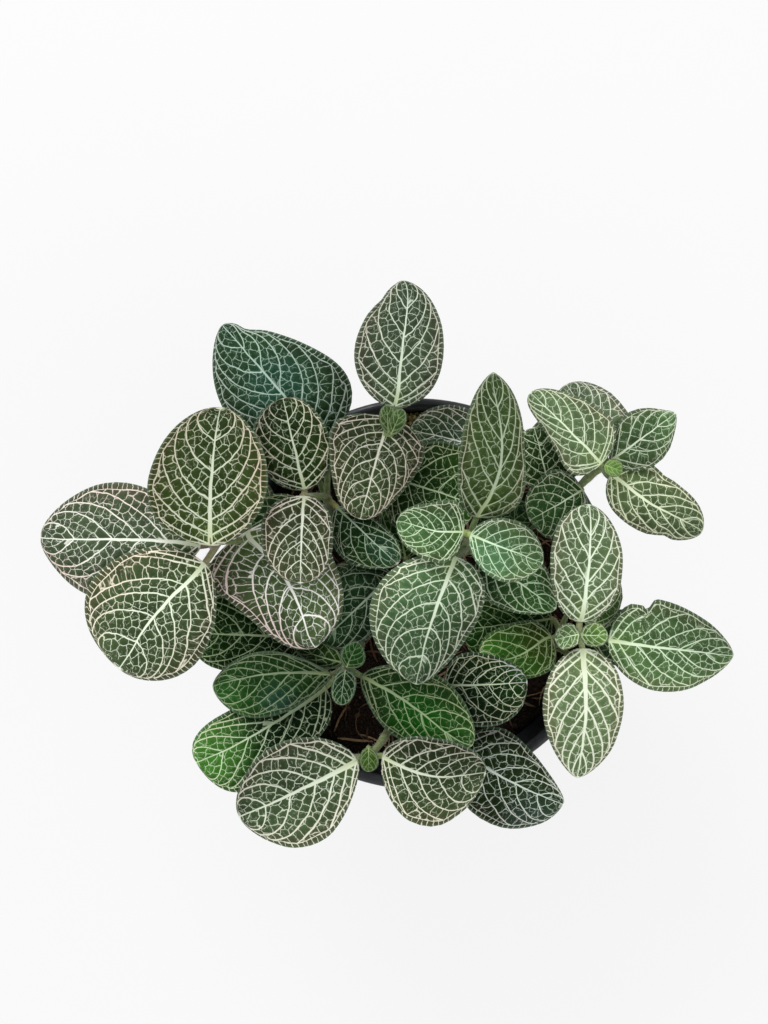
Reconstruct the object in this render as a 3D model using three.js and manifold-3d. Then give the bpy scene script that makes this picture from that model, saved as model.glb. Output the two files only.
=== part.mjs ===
// A nerve plant (Fittonia) in a round black nursery pot, seen from above in the photograph.
// Millimetres, +Z up, origin at the centre of the pot's flat base.
import * as THREE from "three";
import { mergeVertices } from "three/addons/utils/BufferGeometryUtils.js";
import Module from "manifold-3d";

// ---- Pot ----
const POT_HEIGHT = 120;
const RIM_RADIUS = 75;
const RIM_WIDTH = 3;
const RIM_DEPTH = 5;
const BASE_RADIUS = 51;
const COLLAR_DEPTH = 22;
const COLLAR_STEP = 1.2;
const WALL = 1.4;
const FLOOR = 2;
const POT_SIDES = 40;
const DRAIN_COUNT = 8;
const DRAIN_RADIUS = 4;
const DRAIN_CIRCLE = 40;

// ---- Soil ----
const SOIL_GAP = 0.3;
const SOIL_TOP = 105;
const SOIL_CROWN = 3;
const SOIL_BUMP = 0.9;
const HOLE_CLEARANCE = 0.6;
const HOLE_BOTTOM = 86;
const HOLE_SIDES = 8;

// ---- Stems and stalks ----
const ROOT_END = 90;
const STEM_STRAIGHT_FROM = 99;
const STEM_RADIUS = 1.9;
const STEM_TOP_RADIUS = 1.3;
const STALK_RADIUS = 1.25;
const STALK_END_RADIUS = 0.8;
const STALK_REACH = 0.16;
const STALK_DEPTH = 0.2;
const STALK_STEPS = 3;
const STEM_STEPS = 7;
const TUBE_SIDES = 6;
const STALK_SIDES = 5;

// ---- Leaves ----
const BLADE_THICKNESS = 0.8;
const SIMPLIFY = 0.06;
const RIB_PLACES = [0.2, 0.5, 0.8];
const ROW_PLACES = [0.03, 0.14, 0.31, 0.5, 0.69, 0.86, 0.97];
const COLUMN_PLACES = [-1, -0.5, 0, 0.5, 1];
const SHORT_LEAF = 36;
const SHORT_ROW_PLACES = [0.05, 0.25, 0.5, 0.75, 0.95];
const BUD_LEAF = 14;
const BUD_ROW_PLACES = [0.12, 0.5, 0.88];
const BUD_COLUMN_PLACES = [-1, 0, 1];
const WAVES = 3;
const LEAF_DEFAULTS = {
  tip: 0.5,
  arch: 4,
  fold: 2.5,
  roll: 4.2,
  wave: 0.7,
  midrib: [0, 0, 0],
  bites: [],
};

// Each stem: the points its axis passes above the soil, then its leaves. A leaf is its name, the
// number of the stem point that carries it, where its blade starts and ends, its half widths in mm
// at a fifth, a half and four fifths of its length to the left and to the right of the midrib
// (seen from above, looking to the tip), and what sets it apart from LEAF_DEFAULTS. `tip` runs
// from 0.5, round, to 1, pointed. `arch`, `fold`, `roll` and `wave` are heights in mm. `midrib`
// says how far the midrib lies off the line from base to tip at the same three places, as a share
// of the half width on the left, or below 0 on the right. A bite is a dip in the outline: the side
// (1 left, -1 right), its place from 0 to 1, its width and its depth as shares of the length and
// of the half width.
const STEMS = {
  stem_left: {
    path: [[-46, 10, 108], [-50, 13, 125], [-59, 20, 141], [-72.5, 21, 155]],
    leaves: [
      ["A1", 3, [-79.5, 19.2, 155], [-140.5, 22, 139], [12.8, 21.1, 15.8], [15.5, 21.5, 15.5],
        { arch: 7, midrib: [-0.07, -0.04, 0] }],
      ["A2", 3, [-74, 19.6, 170], [-71, 68.5, 166], [21, 23, 16.8], [14.5, 18.5, 13.5],
        { arch: 5, midrib: [0.04, 0.05, 0.05] }],
      ["A3", 3, [-77.5, 13, 160], [-110.5, -26, 146], [14, 20.5, 17], [20, 27, 23.8],
        { arch: 6, midrib: [-0.02, -0.06, -0.02] }],
      ["A4", 2, [-62, 25, 148], [-38, -18, 150], [22, 21.3, 17.2], [22, 17, 11.5],
        { tip: 0.7, midrib: [0.03, 0.14, 0.06] }],
      ["B5", 2, [-44.5, 36, 144.5], [-69, 22, 140], [8.5, 11.5, 10], [5.5, 8.5, 8], {}],
      ["A5", 1, [-56, 23, 134], [-80, 54, 127], [10, 12, 9], [10, 11, 8], { arch: 6 }],
      ["A6", 1, [-60, 12, 136], [-98, 3, 127], [8, 9, 7], [4, 4.5, 4], { arch: 6 }],
    ],
  },
  stem_upper_left: {
    path: [[-30, 22, 108], [-33, 30, 130], [-34, 36.5, 146], [-42, 37, 160]],
    leaves: [
      ["B1", 3, [-41.5, 39.5, 159], [-49.5, 72.5, 155], [11, 14.5, 12], [11, 13, 10], {}],
      ["B2", 3, [-41.5, 37, 166], [-43, 6, 160], [9.5, 11, 9.5], [13, 14.5, 11.5], {}],
      ["B3", 2, [-30, 33, 152], [-8, 12.5, 148], [4, 6.5, 6], [9.5, 12, 8], {}],
      ["C1", 2, [-34.5, 56.5, 150], [-73, 101, 138], [16, 20.5, 14], [21.6, 19.3, 10],
        { tip: 0.6, bites: [[-1, 0.88, 0.06, 0.25]], arch: 8 }],
      ["B4", 1, [-40, 50, 135], [-62, 78, 127], [9, 11, 8], [9, 11, 8], {}],
    ],
  },
  stem_back: {
    path: [[-8, 40, 108], [-8, 44, 128], [-7, 47, 142], [-12.5, 59, 163]],
    leaves: [
      ["C2", 3, [-9.5, 69, 164], [-6, 115, 156], [13, 15, 9], [14, 16, 12],
        { tip: 0.6, bites: [[1, 0.83, 0.06, 0.12]], arch: 6, midrib: [-0.08, -0.1, -0.18] }],
      ["C3", 3, [-11.5, 65, 163], [-21.5, 29, 158], [15.5, 14.2, 9], [18, 16.5, 11.5], {}],
      ["C6", 2, [-10, 44, 150], [21.5, 34, 142], [14.5, 18.5, 15.5], [17, 16, 13], {}],
      ["C8", 3, [-11.5, 59.5, 166], [-12, 69, 170], [2, 2.8, 2.4], [2, 2.8, 2.4],
        { arch: 1, fold: 1, roll: 1, wave: 0.2 }],
      ["C9", 3, [-10.5, 59, 166], [-6.5, 67.5, 170], [2.2, 3, 2.4], [2.2, 3, 2.4],
        { arch: 1, fold: 1, roll: 1, wave: 0.2 }],
      ["C7", 1, [-8, 70, 137], [-5, 103, 129], [8, 10, 8], [8, 10, 8], { tip: 0.6, arch: 6 }],
    ],
  },
  stem_centre: {
    path: [[12, 12, 108], [13, 14, 130], [15, 17, 152], [16, 18, 163], [16, 20, 176], [15.5, 24, 188]],
    leaves: [
      ["D1", 5, [14, 24.5, 191.5], [-8.5, 28, 186], [11, 11, 8], [10, 8.5, 6],
        { tip: 0.6, midrib: [0.06, 0.08, 0] }],
      ["D2", 5, [16.5, 23.5, 192], [41.5, 14, 186], [8, 10, 7.5], [8, 11, 8.5], { tip: 0.6 }],
      ["C4", 4, [19.3, 29.6, 180], [25.5, 80.5, 172], [8, 8.5, 6], [15, 13.5, 9.5],
        { tip: 0.8, arch: 6, midrib: [-0.29, -0.41, -0.21] }],
      ["D3", 4, [11.5, 16, 184], [-1.5, -30, 164], [13.5, 12.5, 7.5], [19, 23.5, 17],
        { tip: 0.6, arch: 8, midrib: [-0.03, -0.07, -0.06] }],
      ["D4", 3, [21, 16, 168], [49, -3.5, 156], [7, 11, 7], [10, 11, 7], {}],
      ["D6", 1, [21, 18, 136], [42, 33, 131], [8, 10, 8], [8, 10, 8], {}],
    ],
  },
  stem_right: {
    path: [[50, -20, 108], [51, -19, 125], [54, -16, 140], [56, -12, 154], [56, -11.5, 168]],
    leaves: [
      ["E1", 4, [56.5, -7.5, 168], [60, 34, 164], [9.8, 12.2, 10.3], [11.2, 13.3, 10],
        { tip: 0.6, midrib: [-0.08, -0.09, -0.1] }],
      ["E2", 4, [57.5, -17, 168], [56.5, -64, 160], [12.8, 14.4, 10.2], [11.5, 13.5, 8.5],
        { tip: 0.7, arch: 6, midrib: [0.05, 0.08, 0.05] }],
      ["E3", 3, [67.5, -14.5, 162], [114.5, -21, 150], [16, 15.5, 9.5], [12.8, 15.5, 10],
        { tip: 0.7, bites: [[1, 0.2, 0.06, 0.12], [1, 0.26, 0.03, 0.22]], arch: 6 }],
      ["E4", 4, [55.5, -11.5, 172], [47.5, -13.5, 172], [3.5, 4, 4], [4, 4.5, 3.5],
        { arch: 1, fold: 1, roll: 1, wave: 0.2 }],
      ["E5", 4, [56.5, -12, 172], [65, -11.5, 176], [3.5, 4.5, 3.5], [3.5, 4, 3.5],
        { arch: 1, fold: 1, roll: 1, wave: 0.2 }],
      ["E6", 3, [48, -14.5, 154], [23, -24.5, 138], [11, 11, 9], [9, 10, 8.5],
        { tip: 0.6, arch: 2, midrib: [0, 0.17, 0.15] }],
      ["E7", 3, [62.5, -11, 152], [71, 9.5, 150], [5.5, 7, 6.5], [5, 6.5, 4.5], {}],
      ["D5", 2, [49, -8, 142], [16, -12.5, 133], [10.5, 12.5, 13.5], [9.5, 11, 10], { tip: 0.7 }],
      ["E8", 1, [59, 1, 134], [62, 27, 127], [7, 9, 7], [7, 9, 7], {}],
      ["E9", 1, [64, -14, 138], [97, -18, 128], [9, 11, 8], [9, 11, 8], { tip: 0.6, arch: 6 }],
      ["E10", 1, [58, -24, 138], [57, -54, 129], [8, 9, 7], [8, 9, 7], { tip: 0.6 }],
    ],
  },
  stem_upper_right: {
    path: [[44, 26, 108], [47, 29, 128], [55, 37, 146], [61, 44, 156], [65, 47.5, 163]],
    leaves: [
      ["I1", 4, [64, 48.5, 168], [39.5, 74, 162], [10.3, 7.4, 5], [13, 12.5, 8], { tip: 0.55 }],
      ["I2", 4, [67, 51.5, 158], [53, 77.5, 156], [5.5, 8, 8], [13, 13.5, 9.5], { tip: 0.6 }],
      ["I3", 4, [67.5, 49.5, 164], [91.5, 67, 160], [6, 10, 6], [8.3, 10.5, 6.5], {}],
      ["I4", 4, [68.5, 45, 160], [102.5, 24, 152], [10.5, 10, 8], [10.8, 11.7, 8],
        { tip: 0.6, bites: [[1, 0.42, 0.08, 0.08], [-1, 0.7, 0.07, 0.14]], arch: 5,
          midrib: [-0.08, -0.12, -0.03] }],
      ["I5", 2, [59, 39.5, 154], [40.5, 28.5, 148], [8.5, 9, 10], [11, 11.5, 9], {}],
      ["I8", 4, [65.3, 48, 167], [71, 46, 170], [2.5, 3, 2.5], [2.5, 3, 2.5],
        { arch: 1, fold: 1, roll: 1, wave: 0.2 }],
      ["I7", 4, [69.5, 44, 150], [94, 29, 140], [5, 7, 6], [5, 6, 5], {}],
    ],
  },
  stem_front: {
    path: [[-8, -44, 108], [-9, -45, 130], [-13, -51, 150], [-18.5, -56.5, 162]],
    leaves: [
      ["F3", 3, [-13.5, -55.5, 166], [23.5, -62.5, 158], [8.5, 10, 8], [16.3, 21.3, 16.5],
        { arch: 7, midrib: [-0.12, -0.15, -0.09] }],
      ["F6", 3, [-22.5, -57, 166], [-65.5, -79, 154], [12.5, 19.8, 15.6], [14, 18, 13], { arch: 6 }],
      ["F5", 3, [-18.5, -52.5, 166], [-18.5, -60.5, 168], [2.5, 3.5, 3], [2.5, 3, 2.5],
        { arch: 1, fold: 1, roll: 1, wave: 0.2 }],
      ["F8", 1, [-4, -56, 140], [9, -76, 131], [8, 10, 8], [8, 10, 8], {}],
      ["F9", 3, [-26, -60, 142], [-54, -79, 131], [8, 11, 9], [8, 11, 9], { arch: 6 }],
    ],
  },
  stem_lower_left: {
    path: [[-22, -20, 108], [-23, -21, 128], [-25, -23, 141], [-27, -25, 153]],
    leaves: [
      ["G1", 3, [-32.5, -28, 150], [-76, -33, 144], [7.5, 12.5, 11], [6.5, 11, 8.5],
        { tip: 0.6, midrib: [-0.28, -0.27, -0.22] }],
      ["F2", 3, [-21, -28.5, 152], [19, -53, 154], [11, 15, 11], [8.5, 12, 8],
        { midrib: [0.08, 0.04, -0.13] }],
      ["F7", 2, [-34.5, -33.5, 142], [-83, -61.5, 138], [14.5, 17.5, 18.5], [8.5, 10, 10],
        { midrib: [0.08, 0.1, 0.08] }],
      ["G3", 3, [-26.5, -24.5, 158], [-22.5, -15.5, 160], [3, 4, 3], [4, 5, 3.5],
        { arch: 1, fold: 1, roll: 1, wave: 0.2 }],
      ["G4", 3, [-27, -25.5, 156], [-28.5, -38, 158], [4, 4.5, 3.5], [3, 4, 3.5],
        { arch: 1, fold: 1, roll: 1, wave: 0.2 }],
      ["G5", 2, [-28.5, -24, 144], [-45.5, -19, 140], [3.5, 4, 3], [4, 5, 3.5], {}],
      ["G2", 1, [-41.5, -15, 136], [-86, -14, 130], [11, 13.5, 12.5], [12, 15, 14.5], {}],
      ["G6", 0, [-38, -30, 128], [-66, -46, 125], [7, 9, 7], [7, 9, 7], {}],
    ],
  },
  stem_inner: {
    path: [[-4, 6, 108], [-5, 7, 124], [-6, 9, 138]],
    leaves: [
      ["H1", 2, [-10, 8.5, 144], [-37.5, -18, 140], [9.5, 11.5, 8.5], [13.5, 12.5, 10], { tip: 0.6 }],
      ["H2", 1, [-12, 4, 131], [-34, 7, 128], [7, 8, 6], [7, 8, 6], {}],
      ["H3", 1, [-5, 14, 131], [-9, 38, 126], [7, 8, 6], [7, 8, 6], {}],
    ],
  },
  stem_lower_right: {
    path: [[6, -36, 108], [6, -37, 124], [7, -38, 135], [7, -34, 145]],
    leaves: [
      ["F1", 3, [9.5, -32, 148], [39, -30.5, 152], [11, 11, 7.5], [13.5, 15.5, 12.5], {}],
      ["F4", 2, [16, -56, 140], [54, -78, 134], [13.5, 12, 6.5], [16, 19, 14.5],
        { arch: 6, midrib: [-0.1, -0.08, -0.05] }],
      ["J3", 0, [18, -54, 130], [45, -71, 125], [8, 10, 7], [8, 10, 7], {}],
    ],
  },
  stem_back_right: {
    path: [[34, 38, 108], [35, 40, 126], [37, 44, 139]],
    leaves: [
      ["C5", 2, [31.5, 53.5, 140], [-3, 62, 136], [12, 11, 7], [8.5, 12.5, 10.5], {}],
      ["I6", 2, [47.5, 40.5, 144], [42.5, 62.5, 142], [9, 10, 9], [13.5, 12.5, 9], {}],
      ["K3", 1, [44, 50, 132], [60, 70, 126], [8, 9, 7], [8, 9, 7], {}],
    ],
  },
};

// ---- Materials ----
const MATERIALS = {
  pot: new THREE.MeshStandardMaterial({ color: 0x1b1d22, roughness: 0.55, metalness: 0 }),
  soil: new THREE.MeshStandardMaterial({ color: 0x1d140d, roughness: 0.95, metalness: 0 }),
  leaf: new THREE.MeshStandardMaterial({ color: 0x355c3c, roughness: 0.6, metalness: 0 }),
};

const wasm = await Module();
wasm.setup();

// ---- Solids ----

// A manifold solid from flat lists of coordinates and of triangle corners.
function solidFrom(coordinates, corners) {
  const mesh = new wasm.Mesh({
    numProp: 3,
    vertProperties: new Float32Array(coordinates),
    triVerts: new Uint32Array(corners),
  });
  return new wasm.Manifold(mesh);
}

// A manifold solid from a closed three.js geometry.
function solidFromGeometry(geometry) {
  geometry.deleteAttribute("normal");
  geometry.deleteAttribute("uv");
  const merged = mergeVertices(geometry, 1e-4);
  return solidFrom(merged.attributes.position.array, merged.index.array);
}

// A named mesh from a manifold solid, with flat shading.
function meshFrom(name, solid, material) {
  const data = solid.getMesh();
  const geometry = new THREE.BufferGeometry();
  const positions = Float32Array.from(data.vertProperties);
  geometry.setAttribute("position", new THREE.BufferAttribute(positions, 3));
  geometry.setIndex(new THREE.BufferAttribute(Uint32Array.from(data.triVerts), 1));
  geometry.computeVertexNormals();
  const mesh = new THREE.Mesh(geometry, material.clone());
  mesh.name = name;
  return mesh;
}

// A solid of revolution about Z from a list of [radius, height] points.
function turned(profile, sides) {
  const points = profile.map(([radius, height]) => new THREE.Vector2(radius, height));
  const geometry = new THREE.LatheGeometry(points, sides);
  geometry.rotateX(Math.PI / 2);
  return solidFromGeometry(geometry);
}

// An upright cylinder from `bottom` to `top`.
function upright(x, y, radius, bottom, top, sides) {
  const geometry = new THREE.CylinderGeometry(radius, radius, top - bottom, sides);
  geometry.rotateX(Math.PI / 2);
  geometry.translate(x, y, (bottom + top) / 2);
  return solidFromGeometry(geometry);
}

// A tapering round bar along a smooth line through the points.
function tapered(points, startRadius, endRadius, steps, sides) {
  const curve = new THREE.CatmullRomCurve3(points, false, "centripetal");
  const coordinates = [];
  const corners = [];
  let side = new THREE.Vector3(0.6, 0.8, 0);
  for (let ring = 0; ring <= steps; ring++) {
    const along = ring / steps;
    const centre = curve.getPointAt(along);
    const tangent = curve.getTangentAt(along);
    side = side.clone().addScaledVector(tangent, -side.dot(tangent)).normalize();
    const other = new THREE.Vector3().crossVectors(tangent, side);
    const radius = startRadius + (endRadius - startRadius) * along;
    for (let i = 0; i < sides; i++) {
      const angle = (2 * Math.PI * i) / sides;
      const point = centre.clone();
      point.addScaledVector(side, radius * Math.cos(angle));
      point.addScaledVector(other, radius * Math.sin(angle));
      coordinates.push(point.x, point.y, point.z);
    }
  }
  for (let ring = 0; ring < steps; ring++) {
    for (let i = 0; i < sides; i++) {
      const a = ring * sides + i;
      const b = ring * sides + ((i + 1) % sides);
      corners.push(a, b, b + sides, a, b + sides, a + sides);
    }
  }
  const last = steps * sides;
  for (let i = 1; i < sides - 1; i++) {
    corners.push(0, i + 1, i);
    corners.push(last, last + i, last + i + 1);
  }
  return solidFrom(coordinates, corners);
}

// ---- Leaf blades ----

// How full the outline is at `s`, 0 at the base and 1 at the tip.
function fullness(s, tip) {
  return Math.sqrt(2 * s) * (2 * (1 - s)) ** tip;
}

// The value at `s` of the parabola through the three values given for RIB_PLACES.
function through(values, s) {
  let sum = 0;
  RIB_PLACES.forEach((place, i) => {
    let share = values[i];
    for (const other of RIB_PLACES) {
      if (other !== place) share *= (s - other) / (place - other);
    }
    sum += share;
  });
  return sum;
}

// What the bites on one side leave of the half width at `s`.
function bitten(s, side, bites) {
  let left = 1;
  for (const [biteSide, place, width, depth] of bites) {
    if (biteSide === side) left *= 1 - depth * Math.exp(-(((s - place) / width) ** 2));
  }
  return left;
}

// Half width at `s` on one side, 1 left or -1 right.
function halfWidth(leaf, s, side) {
  const { tip, bites } = leaf.shape;
  const ribs = side > 0 ? leaf.leftRibs : leaf.rightRibs;
  const scale = through(ribs.map((rib, i) => rib / fullness(RIB_PLACES[i], tip)), s);
  return Math.max(scale, 0.1) * fullness(s, tip) * bitten(s, side, bites);
}

// A point of the blade's upper face: `s` along the midrib, `t` from -1 at the right margin
// to 1 at the left one.
function bladePoint(leaf, s, t) {
  const along = new THREE.Vector3().subVectors(leaf.tip, leaf.base);
  const flat = Math.hypot(along.x, along.y);
  const left = new THREE.Vector3(-along.y / flat, along.x / flat, 0);
  const bulge = 4 * s * (1 - s);
  const side = t >= 0 ? 1 : -1;
  const { arch, fold, roll, wave } = leaf.shape;
  const share = through(leaf.shape.midrib, s);
  const shift = share * halfWidth(leaf, s, share >= 0 ? 1 : -1);
  const across = shift + Math.abs(t) * (side * halfWidth(leaf, s, side) - shift);
  const point = leaf.base.clone().addScaledVector(along, s).addScaledVector(left, across);
  const ripple = Math.sin(2 * Math.PI * WAVES * s + (t > 0 ? 0 : 2)) * Math.abs(t) ** 3;
  point.z += arch * bulge;
  point.z += Math.sqrt(bulge) * (fold * Math.abs(t) - roll * t * t + wave * ripple);
  return point;
}

// The blade as a thin solid, its lower face the upper one moved straight down.
function blade(leaf) {
  const length = leaf.base.distanceTo(leaf.tip);
  const bud = length < BUD_LEAF;
  const columns = bud ? BUD_COLUMN_PLACES : COLUMN_PLACES;
  const rows = bud ? BUD_ROW_PLACES : length < SHORT_LEAF ? SHORT_ROW_PLACES : ROW_PLACES;
  const face = [bladePoint(leaf, 0, 0)];
  for (const s of rows) {
    for (const t of columns) face.push(bladePoint(leaf, s, t));
  }
  face.push(bladePoint(leaf, 1, 0));
  const count = face.length;
  const coordinates = [];
  for (const point of face) coordinates.push(point.x, point.y, point.z);
  for (const point of face) coordinates.push(point.x, point.y, point.z - BLADE_THICKNESS);
  const width = columns.length;
  const place = (row, column) => 1 + row * width + column;
  const top = [];
  for (let column = 0; column < width - 1; column++) {
    top.push([0, place(0, column), place(0, column + 1)]);
    top.push([count - 1, place(rows.length - 1, column + 1), place(rows.length - 1, column)]);
  }
  for (let row = 0; row < rows.length - 1; row++) {
    for (let column = 0; column < width - 1; column++) {
      const a = place(row, column);
      const b = place(row, column + 1);
      top.push([a, a + width, b + width], [a, b + width, b]);
    }
  }
  const rightEdge = rows.map((_, row) => place(row, 0));
  const leftEdge = rows.map((_, row) => place(row, width - 1));
  const edge = [0, ...rightEdge, count - 1, ...leftEdge.reverse()];
  const corners = [];
  for (const [a, b, c] of top) {
    corners.push(a, b, c);
    corners.push(a + count, c + count, b + count);
  }
  edge.forEach((a, i) => {
    const b = edge[(i + 1) % edge.length];
    corners.push(a, a + count, b + count, a, b + count, b);
  });
  return solidFrom(coordinates, corners);
}

// A leaf read from its row of the table.
function readLeaf([name, node, base, tip, leftRibs, rightRibs, shape]) {
  return {
    name,
    node,
    base: new THREE.Vector3(...base),
    tip: new THREE.Vector3(...tip),
    leftRibs,
    rightRibs,
    shape: { ...LEAF_DEFAULTS, ...shape },
  };
}

// The leaf stalk, from the stem to a little way along the underside of the blade, sunk into it
// but never through its upper face.
function stalk(leaf, start) {
  const entry = leaf.base.clone();
  entry.z -= STALK_DEPTH + STALK_RADIUS;
  const end = bladePoint(leaf, STALK_REACH, 0);
  end.z -= STALK_DEPTH + STALK_END_RADIUS;
  const points = [start, entry, end];
  return tapered(points, STALK_RADIUS, STALK_END_RADIUS, STALK_STEPS, STALK_SIDES);
}

// A whole leafy stem as one solid: axis, stalks and blades.
function leafyStem({ path, leaves }) {
  const nodes = path.map((point) => new THREE.Vector3(...point));
  const [rootX, rootY] = path[0];
  const buried = new THREE.Vector3(rootX, rootY, ROOT_END);
  const straight = new THREE.Vector3(rootX, rootY, STEM_STRAIGHT_FROM);
  const axis = [buried, straight, ...nodes];
  let solid = tapered(axis, STEM_RADIUS, STEM_TOP_RADIUS, STEM_STEPS, TUBE_SIDES);
  for (const row of leaves) {
    const leaf = readLeaf(row);
    solid = solid.add(blade(leaf)).add(stalk(leaf, nodes[leaf.node]));
  }
  return solid.simplify(SIMPLIFY);
}

// ---- Pot and soil ----

// Radius of the pot's outside at a height: the tapering body, then the wider collar.
function potRadius(height) {
  const neck = RIM_RADIUS - RIM_WIDTH;
  const slope = (neck - COLLAR_STEP - BASE_RADIUS) / (POT_HEIGHT - RIM_DEPTH);
  const step = height >= POT_HEIGHT - COLLAR_DEPTH ? COLLAR_STEP : 0;
  return BASE_RADIUS + slope * height + step;
}

function pot() {
  const collar = POT_HEIGHT - COLLAR_DEPTH;
  const underRim = POT_HEIGHT - RIM_DEPTH;
  const neck = RIM_RADIUS - RIM_WIDTH;
  const profile = [
    [0, 0],
    [BASE_RADIUS - 1.5, 0],
    [BASE_RADIUS, 1.5],
    [potRadius(collar - 2), collar - 2],
    [potRadius(collar), collar],
    [neck, underRim],
    [RIM_RADIUS - 0.6, underRim],
    [RIM_RADIUS, underRim + 1],
    [RIM_RADIUS, POT_HEIGHT - 1.2],
    [RIM_RADIUS - 0.8, POT_HEIGHT - 0.2],
    [RIM_RADIUS - 1.5, POT_HEIGHT],
    [neck - 0.4, POT_HEIGHT - 0.4],
    [neck - WALL, POT_HEIGHT - 1.4],
    [neck - WALL, underRim],
    [potRadius(collar) - WALL, collar],
    [potRadius(collar - 2) - WALL, collar - 2],
    [BASE_RADIUS - WALL, FLOOR],
    [0, FLOOR],
  ];
  let solid = turned(profile, POT_SIDES);
  for (let i = 0; i < DRAIN_COUNT; i++) {
    const angle = (2 * Math.PI * (i + 0.5)) / DRAIN_COUNT;
    const x = DRAIN_CIRCLE * Math.cos(angle);
    const y = DRAIN_CIRCLE * Math.sin(angle);
    solid = solid.subtract(upright(x, y, DRAIN_RADIUS, -1, FLOOR + 1, 12));
  }
  return solid;
}

// The potting mix: a lump that fills the pot, crowned and uneven on top, with a plain hole
// for each stem.
function soil() {
  const collar = POT_HEIGHT - COLLAR_DEPTH;
  const inside = WALL + SOIL_GAP;
  const edge = SOIL_TOP - 2;
  const edgeRadius = potRadius(edge) - inside;
  const profile = [
    [0, FLOOR + SOIL_GAP],
    [BASE_RADIUS - inside - 0.3, FLOOR + SOIL_GAP],
    [potRadius(collar - 3) - inside, collar - 3],
    [potRadius(collar + 1) - inside - 0.2, collar + 1],
    [edgeRadius, edge],
    [edgeRadius - 6, SOIL_TOP],
    [edgeRadius * 0.65, SOIL_TOP + SOIL_CROWN * 0.6],
    [edgeRadius * 0.33, SOIL_TOP + SOIL_CROWN * 0.9],
    [0, SOIL_TOP + SOIL_CROWN],
  ];
  const points = profile.map(([radius, height]) => new THREE.Vector2(radius, height));
  const geometry = new THREE.LatheGeometry(points, POT_SIDES);
  geometry.rotateX(Math.PI / 2);
  const position = geometry.attributes.position;
  for (let i = 0; i < position.count; i++) {
    const radius = Math.hypot(position.getX(i), position.getY(i));
    if (position.getZ(i) < SOIL_TOP - 0.5 || radius < 1) continue;
    const bump = Math.sin(position.getX(i) * 0.31 + 1) * Math.cos(position.getY(i) * 0.27);
    position.setZ(i, position.getZ(i) + SOIL_BUMP * bump);
  }
  let solid = solidFromGeometry(geometry);
  for (const { path } of Object.values(STEMS)) {
    const [x, y] = path[0];
    const radius = STEM_RADIUS + HOLE_CLEARANCE;
    solid = solid.subtract(upright(x, y, radius, HOLE_BOTTOM, POT_HEIGHT, HOLE_SIDES));
  }
  return solid;
}

const plant = new THREE.Group();
plant.name = "nerve_plant";
plant.add(meshFrom("pot", pot(), MATERIALS.pot));
plant.add(meshFrom("soil", soil(), MATERIALS.soil));
for (const [name, stem] of Object.entries(STEMS)) {
  plant.add(meshFrom(name, leafyStem(stem), MATERIALS.leaf));
}

export default plant;
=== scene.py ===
# A potted nerve plant (Fittonia) in its black nursery pot: looks, light and camera round the
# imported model. The tables are in millimetres in the object's frame; the pieces are in metres.
import math
import random

import bmesh
import bpy
import numpy as np
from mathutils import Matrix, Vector, noise


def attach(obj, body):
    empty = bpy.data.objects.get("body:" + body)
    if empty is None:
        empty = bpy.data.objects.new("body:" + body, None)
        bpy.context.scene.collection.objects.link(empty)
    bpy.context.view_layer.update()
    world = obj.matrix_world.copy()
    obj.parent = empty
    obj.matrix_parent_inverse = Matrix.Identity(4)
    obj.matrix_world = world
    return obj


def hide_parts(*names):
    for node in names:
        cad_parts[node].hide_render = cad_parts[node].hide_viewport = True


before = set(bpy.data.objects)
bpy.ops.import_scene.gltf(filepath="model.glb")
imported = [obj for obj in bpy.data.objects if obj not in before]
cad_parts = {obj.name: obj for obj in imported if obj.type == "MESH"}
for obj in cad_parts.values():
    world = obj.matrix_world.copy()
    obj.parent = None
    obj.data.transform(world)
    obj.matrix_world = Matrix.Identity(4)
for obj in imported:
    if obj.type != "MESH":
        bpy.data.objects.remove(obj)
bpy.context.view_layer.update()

MM = 0.001

# ---- Pot ----
POT_HEIGHT = 120
RIM_RADIUS = 75
RIM_WIDTH = 3
RIM_DEPTH = 5
BASE_RADIUS = 51
BASE_LIFT = 0.8
FOOT_WIDTH = 5
COLLAR_DEPTH = 22
COLLAR_STEP = 1.2
WALL = 1.4
POT_FLOOR = 2
EVEN_WALL_FROM = 30  # The wall is evenly thick from this height up.
POT_SIDES = 160
DRAIN_COUNT = 8
DRAIN_RADIUS = 4
DRAIN_CIRCLE = 40
DRILL_LENGTH = 12
CREASE_DEGREES = 50

# ---- Soil and what lies on it ----
SOIL_GAP = 0.3
SOIL_TOP = 105
SOIL_CROWN = 3
SOIL_SIDES = 200
SOIL_RINGS = 54
FIBRE_COUNT = 260
FIBRE_POINTS = 7
FIBRE_REACH = 64
FIBRE_LIMIT = 66  # A fibre ends where it would leave this radius.
FIBRE_STEP = (1.4, 3.4)
FIBRE_RADIUS = (0.2, 0.55)
CRUMB_COUNT = 420
CRUMB_REACH = 67
CRUMB_SIZE = (0.6, 2.3)
CRUMB_SIDES = 6
MOSS_COUNT = 520
MOSS_PLACE = (3, 67)
MOSS_RADIUS = 8
MOSS_STRETCH = (1.4, 0.7)
MOSS_HEIGHT = 11
MOSS_LIMIT = 70  # No blade of moss has its foot further from the middle of the pot.
MOSS_LEAN = 1.2
MOSS_RADII = (0.6, 0.9, 0.2)
LITTER_SIDES = 5

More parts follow.
